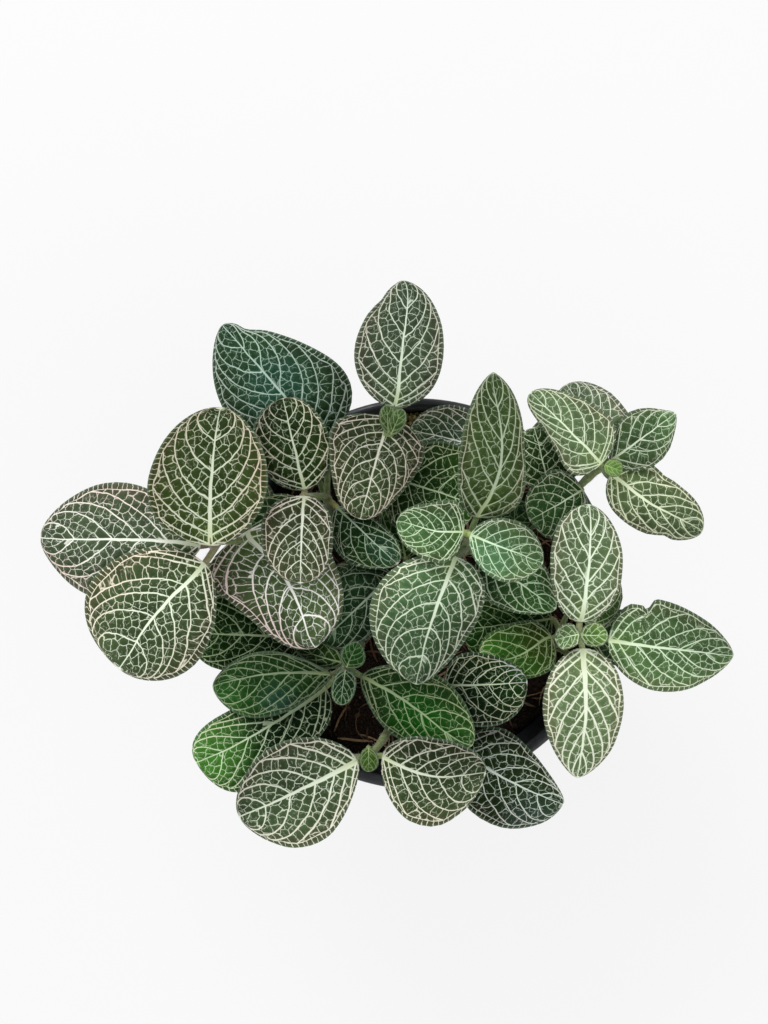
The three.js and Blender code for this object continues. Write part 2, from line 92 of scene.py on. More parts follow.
# ---- Stems, stalks and hairs ----
ROOT_END = 90
STEM_STRAIGHT_FROM = 99
STEM_RADIUS = 1.9
STEM_TOP_RADIUS = 1.3
JOINT_SWELLING = 0.22  # As a share of the radius.
JOINT_LENGTH = 2.2
STALK_RADIUS = 1.25
STALK_END_RADIUS = 0.8
STALK_REACH = 0.16  # How far along the blade a stalk runs under it, as a share.
STALK_DEPTH = 0.2
STALK_END_DEPTH = 0.35
STALK_RINGS = 14
TUBE_SIDES = 10
HAIRS_FROM_HEIGHT = 109  # On a stem, just above the soil.
HAIRS_TO_SHARE = 0.75  # On a stalk, as far as the blade.
HAIRS_PER_SQUARE_MM = 0.55
HAIR_LENGTH = (0.4, 1.1)
HAIR_RADIUS = 0.045
HAIR_ROOT = 0.1
HAIR_RUFFLE = 0.5

# ---- Leaves ----
BLADE_THICKNESS = 0.8
MARGIN_THICKNESS = 0.6
MARGIN_BULGE = 0.22
VEIN_BUMP = 0.42
VEIN_JITTER = 0.022
PILLOW_HEIGHT = 0.75
GROOVE_DEPTH = 0.45
FULL_LENGTH = 45  # A shorter leaf has thinner veins.
RIB_PLACES = (0.2, 0.5, 0.8)
WAVES = 3  # Ripples along a margin.
# The grid of points on a blade: shares of the way from the midrib to the margin, and shares of
# the first and last lanes between side veins.
COLUMNS = (0.05, 0.12, 0.2, 0.29, 0.38, 0.47, 0.56, 0.65, 0.73, 0.8, 0.86, 0.91, 0.95, 0.98, 1)
BASE_ROWS = (0.03, 0.1, 0.22, 0.38, 0.58, 0.79)
TIP_ROWS = (0.16, 0.32, 0.47, 0.6, 0.72, 0.82, 0.9, 0.955, 0.985)
# How far apart, in mm, the patterns of fine veins lie for each lane, side and leaf.
LANE_SHIFT = 17
SIDE_SHIFT = 211
LEAF_SHIFT = 41.3
LEAF_DEFAULTS = {
    "tip": 0.5, "arch": 4, "fold": 2.5, "roll": 4.2, "wave": 0.7, "midrib": [0, 0, 0], "bites": [],
}
YOUNG = {"arch": 1, "fold": 1, "roll": 1, "wave": 0.2}

# Each stem: the points its axis passes above the soil, then its leaves. A leaf is its name, the
# number of the stem point that carries it, where its blade starts and ends, its half widths
# at a fifth, a half and four fifths of its length to the left and to the right of the midrib
# (seen from above, looking to the tip), and what sets it apart from LEAF_DEFAULTS.
STEMS = {
    "stem_left": [
        [[-46, 10, 108], [-50, 13, 125], [-59, 20, 141], [-72.5, 21, 155]],
        ["A1", 3, [-79.5, 19.2, 155], [-140.5, 22, 139], [12.8, 21.1, 15.8], [15.5, 21.5, 15.5],
         {"arch": 7, "midrib": [-0.07, -0.04, 0]}],
        ["A2", 3, [-74, 19.6, 170], [-71, 68.5, 166], [21, 23, 16.8], [14.5, 18.5, 13.5],
         {"arch": 5, "midrib": [0.04, 0.05, 0.05]}],
        ["A3", 3, [-77.5, 13, 160], [-110.5, -26, 146], [14, 20.5, 17], [20, 27, 23.8],
         {"arch": 6, "midrib": [-0.02, -0.06, -0.02]}],
        ["A4", 2, [-62, 25, 148], [-38, -18, 150], [22, 21.3, 17.2], [22, 17, 11.5],
         {"tip": 0.7, "midrib": [0.03, 0.14, 0.06]}],
        ["B5", 2, [-44.5, 36, 144.5], [-69, 22, 140], [8.5, 11.5, 10], [5.5, 8.5, 8]],
        ["A5", 1, [-56, 23, 134], [-80, 54, 127], [10, 12, 9], [10, 11, 8], {"arch": 6}],
        ["A6", 1, [-60, 12, 136], [-98, 3, 127], [8, 9, 7], [4, 4.5, 4], {"arch": 6}],
    ],
    "stem_upper_left": [
        [[-30, 22, 108], [-33, 30, 130], [-34, 36.5, 146], [-42, 37, 160]],
        ["B1", 3, [-41.5, 39.5, 159], [-49.5, 72.5, 155], [11, 14.5, 12], [11, 13, 10]],
        ["B2", 3, [-41.5, 37, 166], [-43, 6, 160], [9.5, 11, 9.5], [13, 14.5, 11.5]],
        ["B3", 2, [-30, 33, 152], [-8, 12.5, 148], [4, 6.5, 6], [9.5, 12, 8]],
        ["C1", 2, [-34.5, 56.5, 150], [-73, 101, 138], [16, 20.5, 14], [21.6, 19.3, 10],
         {"tip": 0.6, "bites": [[-1, 0.88, 0.06, 0.25]], "arch": 8}],
        ["B4", 1, [-40, 50, 135], [-62, 78, 127], [9, 11, 8], [9, 11, 8]],
    ],
    "stem_back": [
        [[-8, 40, 108], [-8, 44, 128], [-7, 47, 142], [-12.5, 59, 163]],
        ["C2", 3, [-9.5, 69, 164], [-6, 115, 156], [13, 15, 9], [14, 16, 12],
         {"tip": 0.6, "bites": [[1, 0.83, 0.06, 0.12]], "arch": 6, "midrib": [-0.08, -0.1, -0.18]}],
        ["C3", 3, [-11.5, 65, 163], [-21.5, 29, 158], [15.5, 14.2, 9], [18, 16.5, 11.5]],
        ["C6", 2, [-10, 44, 150], [21.5, 34, 142], [14.5, 18.5, 15.5], [17, 16, 13]],
        ["C8", 3, [-11.5, 59.5, 166], [-12, 69, 170], [2, 2.8, 2.4], [2, 2.8, 2.4], YOUNG],
        ["C9", 3, [-10.5, 59, 166], [-6.5, 67.5, 170], [2.2, 3, 2.4], [2.2, 3, 2.4], YOUNG],
        ["C7", 1, [-8, 70, 137], [-5, 103, 129], [8, 10, 8], [8, 10, 8], {"tip": 0.6, "arch": 6}],
    ],
    "stem_centre": [
        [[12, 12, 108], [13, 14, 130], [15, 17, 152], [16, 18, 163], [16, 20, 176], [15.5, 24, 188]],
        ["D1", 5, [14, 24.5, 191.5], [-8.5, 28, 186], [11, 11, 8], [10, 8.5, 6],
         {"tip": 0.6, "midrib": [0.06, 0.08, 0]}],
        ["D2", 5, [16.5, 23.5, 192], [41.5, 14, 186], [8, 10, 7.5], [8, 11, 8.5], {"tip": 0.6}],
        ["C4", 4, [19.3, 29.6, 180], [25.5, 80.5, 172], [8, 8.5, 6], [15, 13.5, 9.5],
         {"tip": 0.8, "arch": 6, "midrib": [-0.29, -0.41, -0.21]}],
        ["D3", 4, [11.5, 16, 184], [-1.5, -30, 164], [13.5, 12.5, 7.5], [19, 23.5, 17],
         {"tip": 0.6, "arch": 8, "midrib": [-0.03, -0.07, -0.06]}],
        ["D4", 3, [21, 16, 168], [49, -3.5, 156], [7, 11, 7], [10, 11, 7]],
        ["D6", 1, [21, 18, 136], [42, 33, 131], [8, 10, 8], [8, 10, 8]],
    ],
    "stem_right": [
        [[50, -20, 108], [51, -19, 125], [54, -16, 140], [56, -12, 154], [56, -11.5, 168]],
        ["E1", 4, [56.5, -7.5, 168], [60, 34, 164], [9.8, 12.2, 10.3], [11.2, 13.3, 10],
         {"tip": 0.6, "midrib": [-0.08, -0.09, -0.1]}],
        ["E2", 4, [57.5, -17, 168], [56.5, -64, 160], [12.8, 14.4, 10.2], [11.5, 13.5, 8.5],
         {"tip": 0.7, "arch": 6, "midrib": [0.05, 0.08, 0.05]}],
        ["E3", 3, [67.5, -14.5, 162], [114.5, -21, 150], [16, 15.5, 9.5], [12.8, 15.5, 10],
         {"tip": 0.7, "bites": [[1, 0.2, 0.06, 0.12], [1, 0.26, 0.03, 0.22]], "arch": 6}],
        ["E4", 4, [55.5, -11.5, 172], [47.5, -13.5, 172], [3.5, 4, 4], [4, 4.5, 3.5], YOUNG],
        ["E5", 4, [56.5, -12, 172], [65, -11.5, 176], [3.5, 4.5, 3.5], [3.5, 4, 3.5], YOUNG],
        ["E6", 3, [48, -14.5, 154], [23, -24.5, 138], [11, 11, 9], [9, 10, 8.5],
         {"tip": 0.6, "arch": 2, "midrib": [0, 0.17, 0.15]}],
        ["E7", 3, [62.5, -11, 152], [71, 9.5, 150], [5.5, 7, 6.5], [5, 6.5, 4.5]],
        ["D5", 2, [49, -8, 142], [16, -12.5, 133], [10.5, 12.5, 13.5], [9.5, 11, 10], {"tip": 0.7}],
        ["E8", 1, [59, 1, 134], [62, 27, 127], [7, 9, 7], [7, 9, 7]],
        ["E9", 1, [64, -14, 138], [97, -18, 128], [9, 11, 8], [9, 11, 8], {"tip": 0.6, "arch": 6}],
        ["E10", 1, [58, -24, 138], [57, -54, 129], [8, 9, 7], [8, 9, 7], {"tip": 0.6}],
    ],
    "stem_upper_right": [
        [[44, 26, 108], [47, 29, 128], [55, 37, 146], [61, 44, 156], [65, 47.5, 163]],
        ["I1", 4, [64, 48.5, 168], [39.5, 74, 162], [10.3, 7.4, 5], [13, 12.5, 8], {"tip": 0.55}],
        ["I2", 4, [67, 51.5, 158], [53, 77.5, 156], [5.5, 8, 8], [13, 13.5, 9.5], {"tip": 0.6}],
        ["I3", 4, [67.5, 49.5, 164], [91.5, 67, 160], [6, 10, 6], [8.3, 10.5, 6.5]],
        ["I4", 4, [68.5, 45, 160], [102.5, 24, 152], [10.5, 10, 8], [10.8, 11.7, 8],
         {"tip": 0.6, "bites": [[1, 0.42, 0.08, 0.08], [-1, 0.7, 0.07, 0.14]], "arch": 5,
          "midrib": [-0.08, -0.12, -0.03]}],
        ["I5", 2, [59, 39.5, 154], [40.5, 28.5, 148], [8.5, 9, 10], [11, 11.5, 9]],
        ["I8", 4, [65.3, 48, 167], [71, 46, 170], [2.5, 3, 2.5], [2.5, 3, 2.5], YOUNG],
        ["I7", 4, [69.5, 44, 150], [94, 29, 140], [5, 7, 6], [5, 6, 5]],
    ],
    "stem_front": [
        [[-8, -44, 108], [-9, -45, 130], [-13, -51, 150], [-18.5, -56.5, 162]],
        ["F3", 3, [-13.5, -55.5, 166], [23.5, -62.5, 158], [8.5, 10, 8], [16.3, 21.3, 16.5],
         {"arch": 7, "midrib": [-0.12, -0.15, -0.09]}],
        ["F6", 3, [-22.5, -57, 166], [-65.5, -79, 154], [12.5, 19.8, 15.6], [14, 18, 13], {"arch": 6}],
        ["F5", 3, [-18.5, -52.5, 166], [-18.5, -60.5, 168], [2.5, 3.5, 3], [2.5, 3, 2.5], YOUNG],
        ["F8", 1, [-4, -56, 140], [9, -76, 131], [8, 10, 8], [8, 10, 8]],
        ["F9", 3, [-26, -60, 142], [-54, -79, 131], [8, 11, 9], [8, 11, 9], {"arch": 6}],
    ],
    "stem_lower_left": [
        [[-22, -20, 108], [-23, -21, 128], [-25, -23, 141], [-27, -25, 153]],
        ["G1", 3, [-32.5, -28, 150], [-76, -33, 144], [7.5, 12.5, 11], [6.5, 11, 8.5],
         {"tip": 0.6, "midrib": [-0.28, -0.27, -0.22]}],
        ["F2", 3, [-21, -28.5, 152], [19, -53, 154], [11, 15, 11], [8.5, 12, 8],
         {"midrib": [0.08, 0.04, -0.13]}],
        ["F7", 2, [-34.5, -33.5, 142], [-83, -61.5, 138], [14.5, 17.5, 18.5], [8.5, 10, 10],
         {"midrib": [0.08, 0.1, 0.08]}],
        ["G3", 3, [-26.5, -24.5, 158], [-22.5, -15.5, 160], [3, 4, 3], [4, 5, 3.5], YOUNG],
        ["G4", 3, [-27, -25.5, 156], [-28.5, -38, 158], [4, 4.5, 3.5], [3, 4, 3.5], YOUNG],
        ["G5", 2, [-28.5, -24, 144], [-45.5, -19, 140], [3.5, 4, 3], [4, 5, 3.5]],
        ["G2", 1, [-41.5, -15, 136], [-86, -14, 130], [11, 13.5, 12.5], [12, 15, 14.5]],
        ["G6", 0, [-38, -30, 128], [-66, -46, 125], [7, 9, 7], [7, 9, 7]],
    ],
    "stem_inner": [
        [[-4, 6, 108], [-5, 7, 124], [-6, 9, 138]],
        ["H1", 2, [-10, 8.5, 144], [-37.5, -18, 140], [9.5, 11.5, 8.5], [13.5, 12.5, 10], {"tip": 0.6}],
        ["H2", 1, [-12, 4, 131], [-34, 7, 128], [7, 8, 6], [7, 8, 6]],
        ["H3", 1, [-5, 14, 131], [-9, 38, 126], [7, 8, 6], [7, 8, 6]],
    ],
    "stem_lower_right": [
        [[6, -36, 108], [6, -37, 124], [7, -38, 135], [7, -34, 145]],
        ["F1", 3, [9.5, -32, 148], [39, -30.5, 152], [11, 11, 7.5], [13.5, 15.5, 12.5]],
        ["F4", 2, [16, -56, 140], [54, -78, 134], [13.5, 12, 6.5], [16, 19, 14.5],
         {"arch": 6, "midrib": [-0.1, -0.08, -0.05]}],
        ["J3", 0, [18, -54, 130], [45, -71, 125], [8, 10, 7], [8, 10, 7]],
    ],
    "stem_back_right": [
        [[34, 38, 108], [35, 40, 126], [37, 44, 139]],
        ["C5", 2, [31.5, 53.5, 140], [-3, 62, 136], [12, 11, 7], [8.5, 12.5, 10.5]],
        ["I6", 2, [47.5, 40.5, 144], [42.5, 62.5, 142], [9, 10, 9], [13.5, 12.5, 9]],
        ["K3", 1, [44, 50, 132], [60, 70, 126], [8, 9, 7], [8, 9, 7]],
    ],
}

# ---- Leaf colours ----
# How each leaf looks: blade colour, vein colour, how thick its veins are, veins on each side of
# the midrib, how straight the veins leave the midrib (0 square to it, 1 slanting), and, for some,
# a patch of another colour: its place along and across the blade, its radius in mm, its colour,
# its strength. The teal patch on some leaves is a painted sheen, the sky's reflection on the blade.
# Most blade and vein colours were set by a program that compared the mean tones of each leaf in
# the photograph and in a render, so the colours of the lower leaves are partly painted shade.
LOOKS = {
    "A1": [(68, 82, 58), (242, 246, 232), 1.0, 6, 0.5],
    "A2": [(48, 64, 28), (198, 206, 182), 1.15, 6, 0.3],
    "A3": [(60, 76, 46), (236, 246, 222), 1.1, 6, 0.1],
    "A4": [(70, 88, 54), (246, 246, 238), 1.25, 6, 0.1],
    "B1": [(26, 42, 12), (180, 188, 166), 1.0, 6, 0.4],
    "B2": [(56, 64, 40), (220, 226, 208), 1.0, 6, 0.4],
    "B3": [(22, 50, 14), (176, 198, 172), 0.7, 5, 0.4, (0.75, 0.0, 9, (34, 52, 46), 0.5)],
    "B5": [(42, 68, 36), (212, 234, 186), 0.8, 5, 0.4],
    "C1": [(30, 52, 30), (160, 182, 168), 0.9, 7, 0.4, (0.45, 0.0, 18, (36, 76, 62), 0.5)],
    "C2": [(56, 70, 50), (198, 210, 190), 0.9, 6, 0.5],
    "C3": [(50, 62, 36), (206, 208, 190), 0.9, 7, 0.1],
    "C5": [(66, 86, 56), (242, 246, 234), 0.8, 6, 0.4, (0.5, 0.0, 12, (64, 88, 78), 0.3)],
    "C6": [(28, 54, 16), (184, 204, 164), 0.8, 6, 0.3],
    "D1": [(60, 88, 50), (214, 236, 200), 0.75, 7, 0.4],
    "D2": [(70, 96, 58), (210, 234, 202), 0.75, 6, 0.5, (0.3, -0.5, 13, (70, 112, 78), 0.6)],
    "C4": [(48, 66, 32), (156, 170, 144), 0.9, 6, 0.6],
    "D3": [(58, 82, 52), (206, 220, 196), 1.0, 6, 0.0],
    "D4": [(36, 64, 28), (180, 200, 170), 0.9, 6, 0.4],
    "D5": [(14, 42, 8), (142, 158, 118), 0.7, 6, 0.2],
    "E1": [(84, 104, 70), (222, 234, 210), 1.15, 6, 1.0],
    "E2": [(90, 110, 74), (226, 234, 210), 1.35, 7, 1.0],
    "E3": [(68, 94, 56), (208, 226, 196), 0.9, 6, 0.9],
    "E4": [(80, 106, 62), (228, 244, 212), 0.7, 4, 0.8],
    "E5": [(78, 106, 50), (218, 242, 200), 0.7, 4, 0.8],
    "E6": [(52, 98, 30), (204, 230, 170), 0.9, 6, 0.3, (0.1, 0.0, 12, (82, 92, 22), 0.6)],
    "E7": [(76, 116, 56), (236, 246, 210), 0.9, 5, 0.5],
    "I1": [(84, 104, 70), (218, 232, 202), 0.8, 7, 0.7],
    "I2": [(86, 106, 76), (242, 246, 230), 0.8, 6, 0.6],
    "I3": [(62, 86, 52), (206, 220, 194), 0.75, 5, 0.6],
    "I4": [(76, 94, 60), (218, 228, 196), 1.0, 6, 0.6],
    "I5": [(44, 74, 36), (210, 222, 194), 0.8, 6, 0.4],
    "I6": [(34, 56, 22), (214, 228, 196), 0.8, 5, 0.4],
    "F3": [(44, 58, 32), (204, 210, 190), 1.0, 6, 0.3],
    "F6": [(56, 72, 46), (208, 216, 196), 1.3, 6, 0.3],
    "F5": [(52, 78, 26), (136, 154, 110), 0.7, 4, 0.8],
    "F4": [(28, 44, 18), (194, 206, 194), 0.85, 6, 0.4, (0.8, -0.8, 15, (44, 60, 56), 0.5)],
    "F1": [(16, 38, 10), (202, 216, 186), 0.85, 6, 0.4],
    "G1": [(20, 48, 14), (120, 136, 106), 0.85, 6, 0.4, (0.45, 0.7, 10, (34, 60, 54), 0.5)],
    "F2": [(24, 54, 16), (142, 162, 124), 0.85, 6, 0.3, (0.5, -0.2, 15, (14, 70, 6), 0.8)],
    "F7": [(14, 36, 12), (184, 202, 168), 0.95, 7, 0.5, (0.85, -0.2, 22, (54, 96, 34), 0.8)],
    "G3": [(16, 50, 14), (120, 136, 102), 0.7, 5, 0.8],
    "G4": [(16, 40, 14), (136, 154, 128), 0.7, 5, 0.8],
    "G5": [(22, 42, 10), (120, 136, 104), 0.8, 4, 0.6],
    "G2": [(14, 40, 8), (166, 184, 146), 0.9, 6, 0.2],
    "H1": [(24, 48, 24), (148, 164, 142), 0.85, 6, 0.4],
    "H3": [(20, 48, 14), (128, 146, 104), 0.8, 5, 0.3],
    "C8": [(56, 78, 42), (140, 160, 114), 0.7, 4, 0.8],
    "C9": [(60, 84, 44), (144, 164, 118), 0.7, 4, 0.8],
    "I8": [(84, 116, 56), (172, 194, 132), 0.7, 4, 0.8],
    "D6": [(12, 36, 8), (104, 118, 86), 0.8, 5, 0.3],
}
# How pink the veins turn towards the margin, for each group of leaves.
FLUSH = {"A": 1.0, "B": 0.8, "C": 0.7, "D": 0.4, "F": 0.6}
PLAIN_LOOK = [(40, 62, 38), (170, 180, 150), 0.9, 5, 0.2]
# Painted shade and light on leaves that are not evenly pale: how much lighter towards the tip, and towards
# the left margin, rounded from slopes that were measured in the photograph. It stands mostly for the
# shade that the leaves above cast on a leaf, partly for the leaf's own colour.
PAINTED_SHADING = {
    "A2": (-0.15, -0.1), "A3": (0.2, -0.2), "A4": (-0.1, 0.5), "B1": (0, -0.5), "B2": (0.6, 0.1),
    "B3": (1.4, 0.1), "C1": (0.3, -0.1), "C3": (0.75, 0), "C5": (0.2, 0.5), "C6": (1.1, 0),
    "D1": (0.1, 0.3), "D2": (0, -0.4), "D3": (-0.2, -0.4), "D4": (1, 0), "D5": (0.8, 0.2),
    "E3": (-0.2, -0.3), "E4": (0, 0.4), "E5": (0.3, 0), "E6": (1.4, 0.4), "E7": (0, 1),
    "F1": (1.3, 0.8), "F2": (0.9, 0), "F3": (0, -0.7), "F4": (0.5, 0), "F6": (0.1, 0.5),
    "F7": (0.7, 0.1), "G1": (0.9, 0.4), "G2": (1, 0.1), "G4": (0.6, -0.1), "G5": (-0.4, -0.5),
    "H1": (1.7, -1.3), "I2": (-0.4, 0), "I3": (0.5, 0), "I4": (-0.2, 0.2), "I5": (0.6, -0.1),
    "I6": (-0.1, 0.8),
}

UNDER_BLADE = (132, 160, 120)
UNDER_VEIN = (186, 200, 150)
BASE_VEIN = (170, 184, 120)
MARGIN_COLOUR = (84, 106, 84)
STALK_COLOUR = (120, 136, 88)
STEM_COLOUR = (104, 104, 74)
STEM_BLUSH = (120, 84, 66)
HAIR_COLOUR = (206, 206, 186)
# The third soil colour is painted shade, for the cracks between crumbs.
SOIL_COLOURS = [(22, 16, 13), (72, 52, 40), (9, 7, 6)]
FIBRE_COLOURS = [(150, 116, 90), (120, 90, 70), (176, 144, 114), (104, 76, 58)]
CRUMB_COLOURS = [(66, 48, 38), (90, 66, 52), (44, 34, 28), (116, 86, 66)]
# Moss tones painted far lighter than moss: painted light that makes up for the shade by the rim where the
# tuft lies.
MOSS_COLOURS_WITH_PAINTED_LIGHT = [(216, 200, 140), (184, 168, 108), (230, 214, 156)]
POT_COLOURS = [(28, 30, 36), (52, 54, 60), (92, 88, 82)]
# Stalks that are not of the usual colour and thickness: colour, and how many times as thick.
STALKS = {
    "A1": ((128, 118, 100), 1.2), "A2": ((118, 104, 88), 1.2), "A3": ((136, 134, 96), 1.2),
    "A4": ((120, 104, 80), 1.0), "B1": ((112, 104, 70), 1.0), "B2": ((112, 108, 74), 1.0),
    "B3": ((116, 116, 62), 1.0), "C2": ((98, 120, 76), 1.7), "C3": ((112, 130, 84), 1.3),
    "C4": ((92, 112, 64), 1.0), "D3": ((94, 112, 70), 1.0), "G1": ((72, 82, 50), 1.0),
    "D1": ((150, 170, 100), 1.0), "D2": ((150, 170, 100), 1.0), "E1": ((140, 146, 100), 1.0),
    "E2": ((150, 160, 110), 1.0), "F2": ((84, 100, 58), 1.0), "G3": ((72, 82, 50), 1.0),
    "G4": ((72, 82, 50), 1.0), "G5": ((72, 82, 50), 1.0),
}

# ---- Floor, light and camera, in metres unless they are named MM ----
STAGE_HALF = 4.0
STAGE_GREY = 0.15
STAGE_GLOW = 0.78
SKY_STRENGTH = 0.84
PLANT_MIDDLE = (0, 0, 0.15)
# Each lamp: its name, its place, its size and its power.
LAMPS = [("key", (-0.5, 1.0, 1.1), 0.7, 10.8), ("fill", (1.1, -0.6, 1.1), 1.0, 3.6)]
# The photograph looks straight down from 650 mm above the rim, a little off the pot's centre.
CAMERA_PLACE_MM = (-13.0, 31.4, 770.0)
LENS_MM = 59.72
SENSOR_MM = 36
CLIP_RANGE = (0.05, 20)


def linear(colour):
    """A colour given as 0 to 255 on screen, as the shader's linear numbers."""
    share = np.asarray(colour, dtype=float) / 255
    return np.where(share <= 0.04045, share / 12.92, ((share + 0.055) / 1.055) ** 2.4)


def rgba(colour):
    return (*linear(colour), 1)


def step(low, high, value):
    """A smooth step from 0 at low to 1 at high."""
    share = np.clip((value - low) / (high - low), 0, 1)
    return share * share * (3 - 2 * share)


def toward(values, target, share):
    """The values of each point, moved to the target by the point's share."""
    return values + share[:, None] * (target - values)


def wander(points, scale, seed):
    """Smooth noise from about -1 to 1 at points in mm, with features of about scale mm."""
    shift = Vector((seed * 7.3, seed * 3.1, seed * 1.7))
    return np.array([noise.noise(Vector(point) / scale + shift) for point in points]) * 1.6


def circle(count):
    """Cosine and sine of each of the even steps round a circle."""
    angles = [2 * math.pi * i / count for i in range(count)]
    return [(math.cos(angle), math.sin(angle)) for angle in angles]


# ---- Pieces ----

def new_object(name, data):
    made = bpy.data.objects.new(name, data)
    bpy.context.scene.collection.objects.link(made)
    return made


def make_piece(name, points, faces, material, node, slot):
    """A smooth mesh piece from points in mm, riding the body and standing for the node."""
    mesh = bpy.data.meshes.new(name)
    mesh.from_pydata((np.asarray(points, dtype=float) * MM).tolist(), [], faces)
    mesh.validate()
    mesh.materials.append(material)
    mesh.polygons.foreach_set("use_smooth", [True] * len(mesh.polygons))
    piece = new_object(name, mesh)
    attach(piece, "root")
    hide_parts(node)
    return piece


def paint(piece, name, colours, fourth):
    """A colour for each point of the piece: linear red, green, blue and a fourth number."""
    layer = piece.data.attributes.new(name, "FLOAT_COLOR", "POINT")
    values = np.column_stack([colours, np.broadcast_to(fourth, len(colours))])
    layer.data.foreach_set("color", values.astype(np.float32).ravel())


def mark(piece, name, *columns, domain="POINT"):
    """Three numbers for each point, or each face corner, of the piece."""
    layer = piece.data.attributes.new(name, "FLOAT_VECTOR", domain)
    layer.data.foreach_set("vector", np.stack(columns, -1).astype(np.float32).ravel())


# ---- Shader expressions ----

def plug(tree, item, socket):
    """Links a wire to an input, or writes a plain value there."""
    if isinstance(item, Wire):
        tree.links.new(item.socket, socket)
    else:
        socket.default_value = item


def new_node(tree, kind, items, **settings):
    """A shader node with its settings, and with an item for each numbered or named input."""
    node = tree.nodes.new("ShaderNode" + kind)
    for name, value in settings.items():
        setattr(node, name, value)
    for place, item in items.items():
        plug(tree, item, node.inputs[place])
    return node


class Wire:
    """An output of a shader node that can be reckoned with."""

    def __init__(self, node, output=0):
        self.tree = node.id_data
        self.socket = node.outputs[output]

    def maths(self, operation, *others):
        return Wire(new_node(self.tree, "Math", dict(enumerate((self, *others))), operation=operation))

    def __add__(self, other):
        return self.maths("ADD", other)

    def __sub__(self, other):
        return self.maths("SUBTRACT", other)

    def __mul__(self, other):
        return self.maths("MULTIPLY", other)

    def __truediv__(self, other):
        return self.maths("DIVIDE", other)

    def size(self):
        return self.maths("ABSOLUTE")

    def least(self, other):
        return self.maths("MINIMUM", other)

    def most(self, other):
        return self.maths("MAXIMUM", other)

    def smooth(self, low, high, start=0.0, end=1.0):
        """A smooth step from start where this is low to end where it is high."""
        items = dict(enumerate((self, low, high, start, end)))
        return Wire(new_node(self.tree, "MapRange", items, interpolation_type="SMOOTHSTEP"))

    def parts(self):
        """The three numbers of a vector."""
        node = new_node(self.tree, "SeparateXYZ", {0: self})
        return [Wire(node, axis) for axis in range(3)]

    def rough(self, scale, detail=2.0, share=0.5):
        """Smooth noise from 0 to 1 at this place."""
        items = {"Vector": self, "Scale": scale, "Detail": detail, "Roughness": share}
        return Wire(new_node(self.tree, "TexNoise", items))

    def cells(self, scale, randomness, dimensions="2D"):
        """The distance from this place to the nearest border of a net of cells, in cells."""
        items = {"Vector": self, "Scale": scale, "Randomness": randomness}
        settings = {"voronoi_dimensions": dimensions, "feature": "DISTANCE_TO_EDGE"}
        return Wire(new_node(self.tree, "TexVoronoi", items, **settings), "Distance")

    def between(self, first, second):
        """The colour that lies this share of the way from the first to the second."""
        return mixed(self.tree, self, first, second)

    def times(self, level):
        """This colour made lighter or darker by a number."""
        return mixed(self.tree, 1.0, self, together(level, level, level), "MULTIPLY")


def mixed(tree, share, first, second, mode="MIX"):
    """Two colours mixed: the node takes colours at its inputs 6 and 7 and gives one at output 2."""
    items = {0: share, 6: first, 7: second}
    return Wire(new_node(tree, "Mix", items, data_type="RGBA", blend_type=mode), 2)


def together(x, y, z=0.0):
    """A vector from its three numbers."""
    return Wire(new_node(x.tree, "CombineXYZ", {0: x, 1: y, 2: z}))


class Surface:
    """A material with its node tree and its surface shader."""

    def __init__(self, name, roughness=0.5, sheen=0.0, specular=0.5):
        self.material = bpy.data.materials.new(name)
        self.material.use_nodes = True
        self.tree = self.material.node_tree
        self.shader = self.tree.nodes["Principled BSDF"]
        self.set("Roughness", roughness)
        self.set("Sheen Weight", sheen)
        self.set("Sheen Roughness", 0.4)
        self.set("Specular IOR Level", specular)

    def set(self, name, item):
        plug(self.tree, item, self.shader.inputs[name])

    def attribute(self, name, output="Vector"):
        return Wire(new_node(self.tree, "Attribute", {}, attribute_name=name), output)

    def place(self):
        """The point's place in the object's frame, in mm."""
        metres = Wire(new_node(self.tree, "TexCoord", {}), "Object")
        return Wire(new_node(self.tree, "VectorMath", {0: metres, "Scale": 1 / MM}, operation="SCALE"))

    def bump(self, height, depth):
        """Bump of the given depth in mm from a height that runs from 0 to 1."""
        items = {"Distance": depth * MM, "Height": height}
        self.set("Normal", Wire(new_node(self.tree, "Bump", items)))


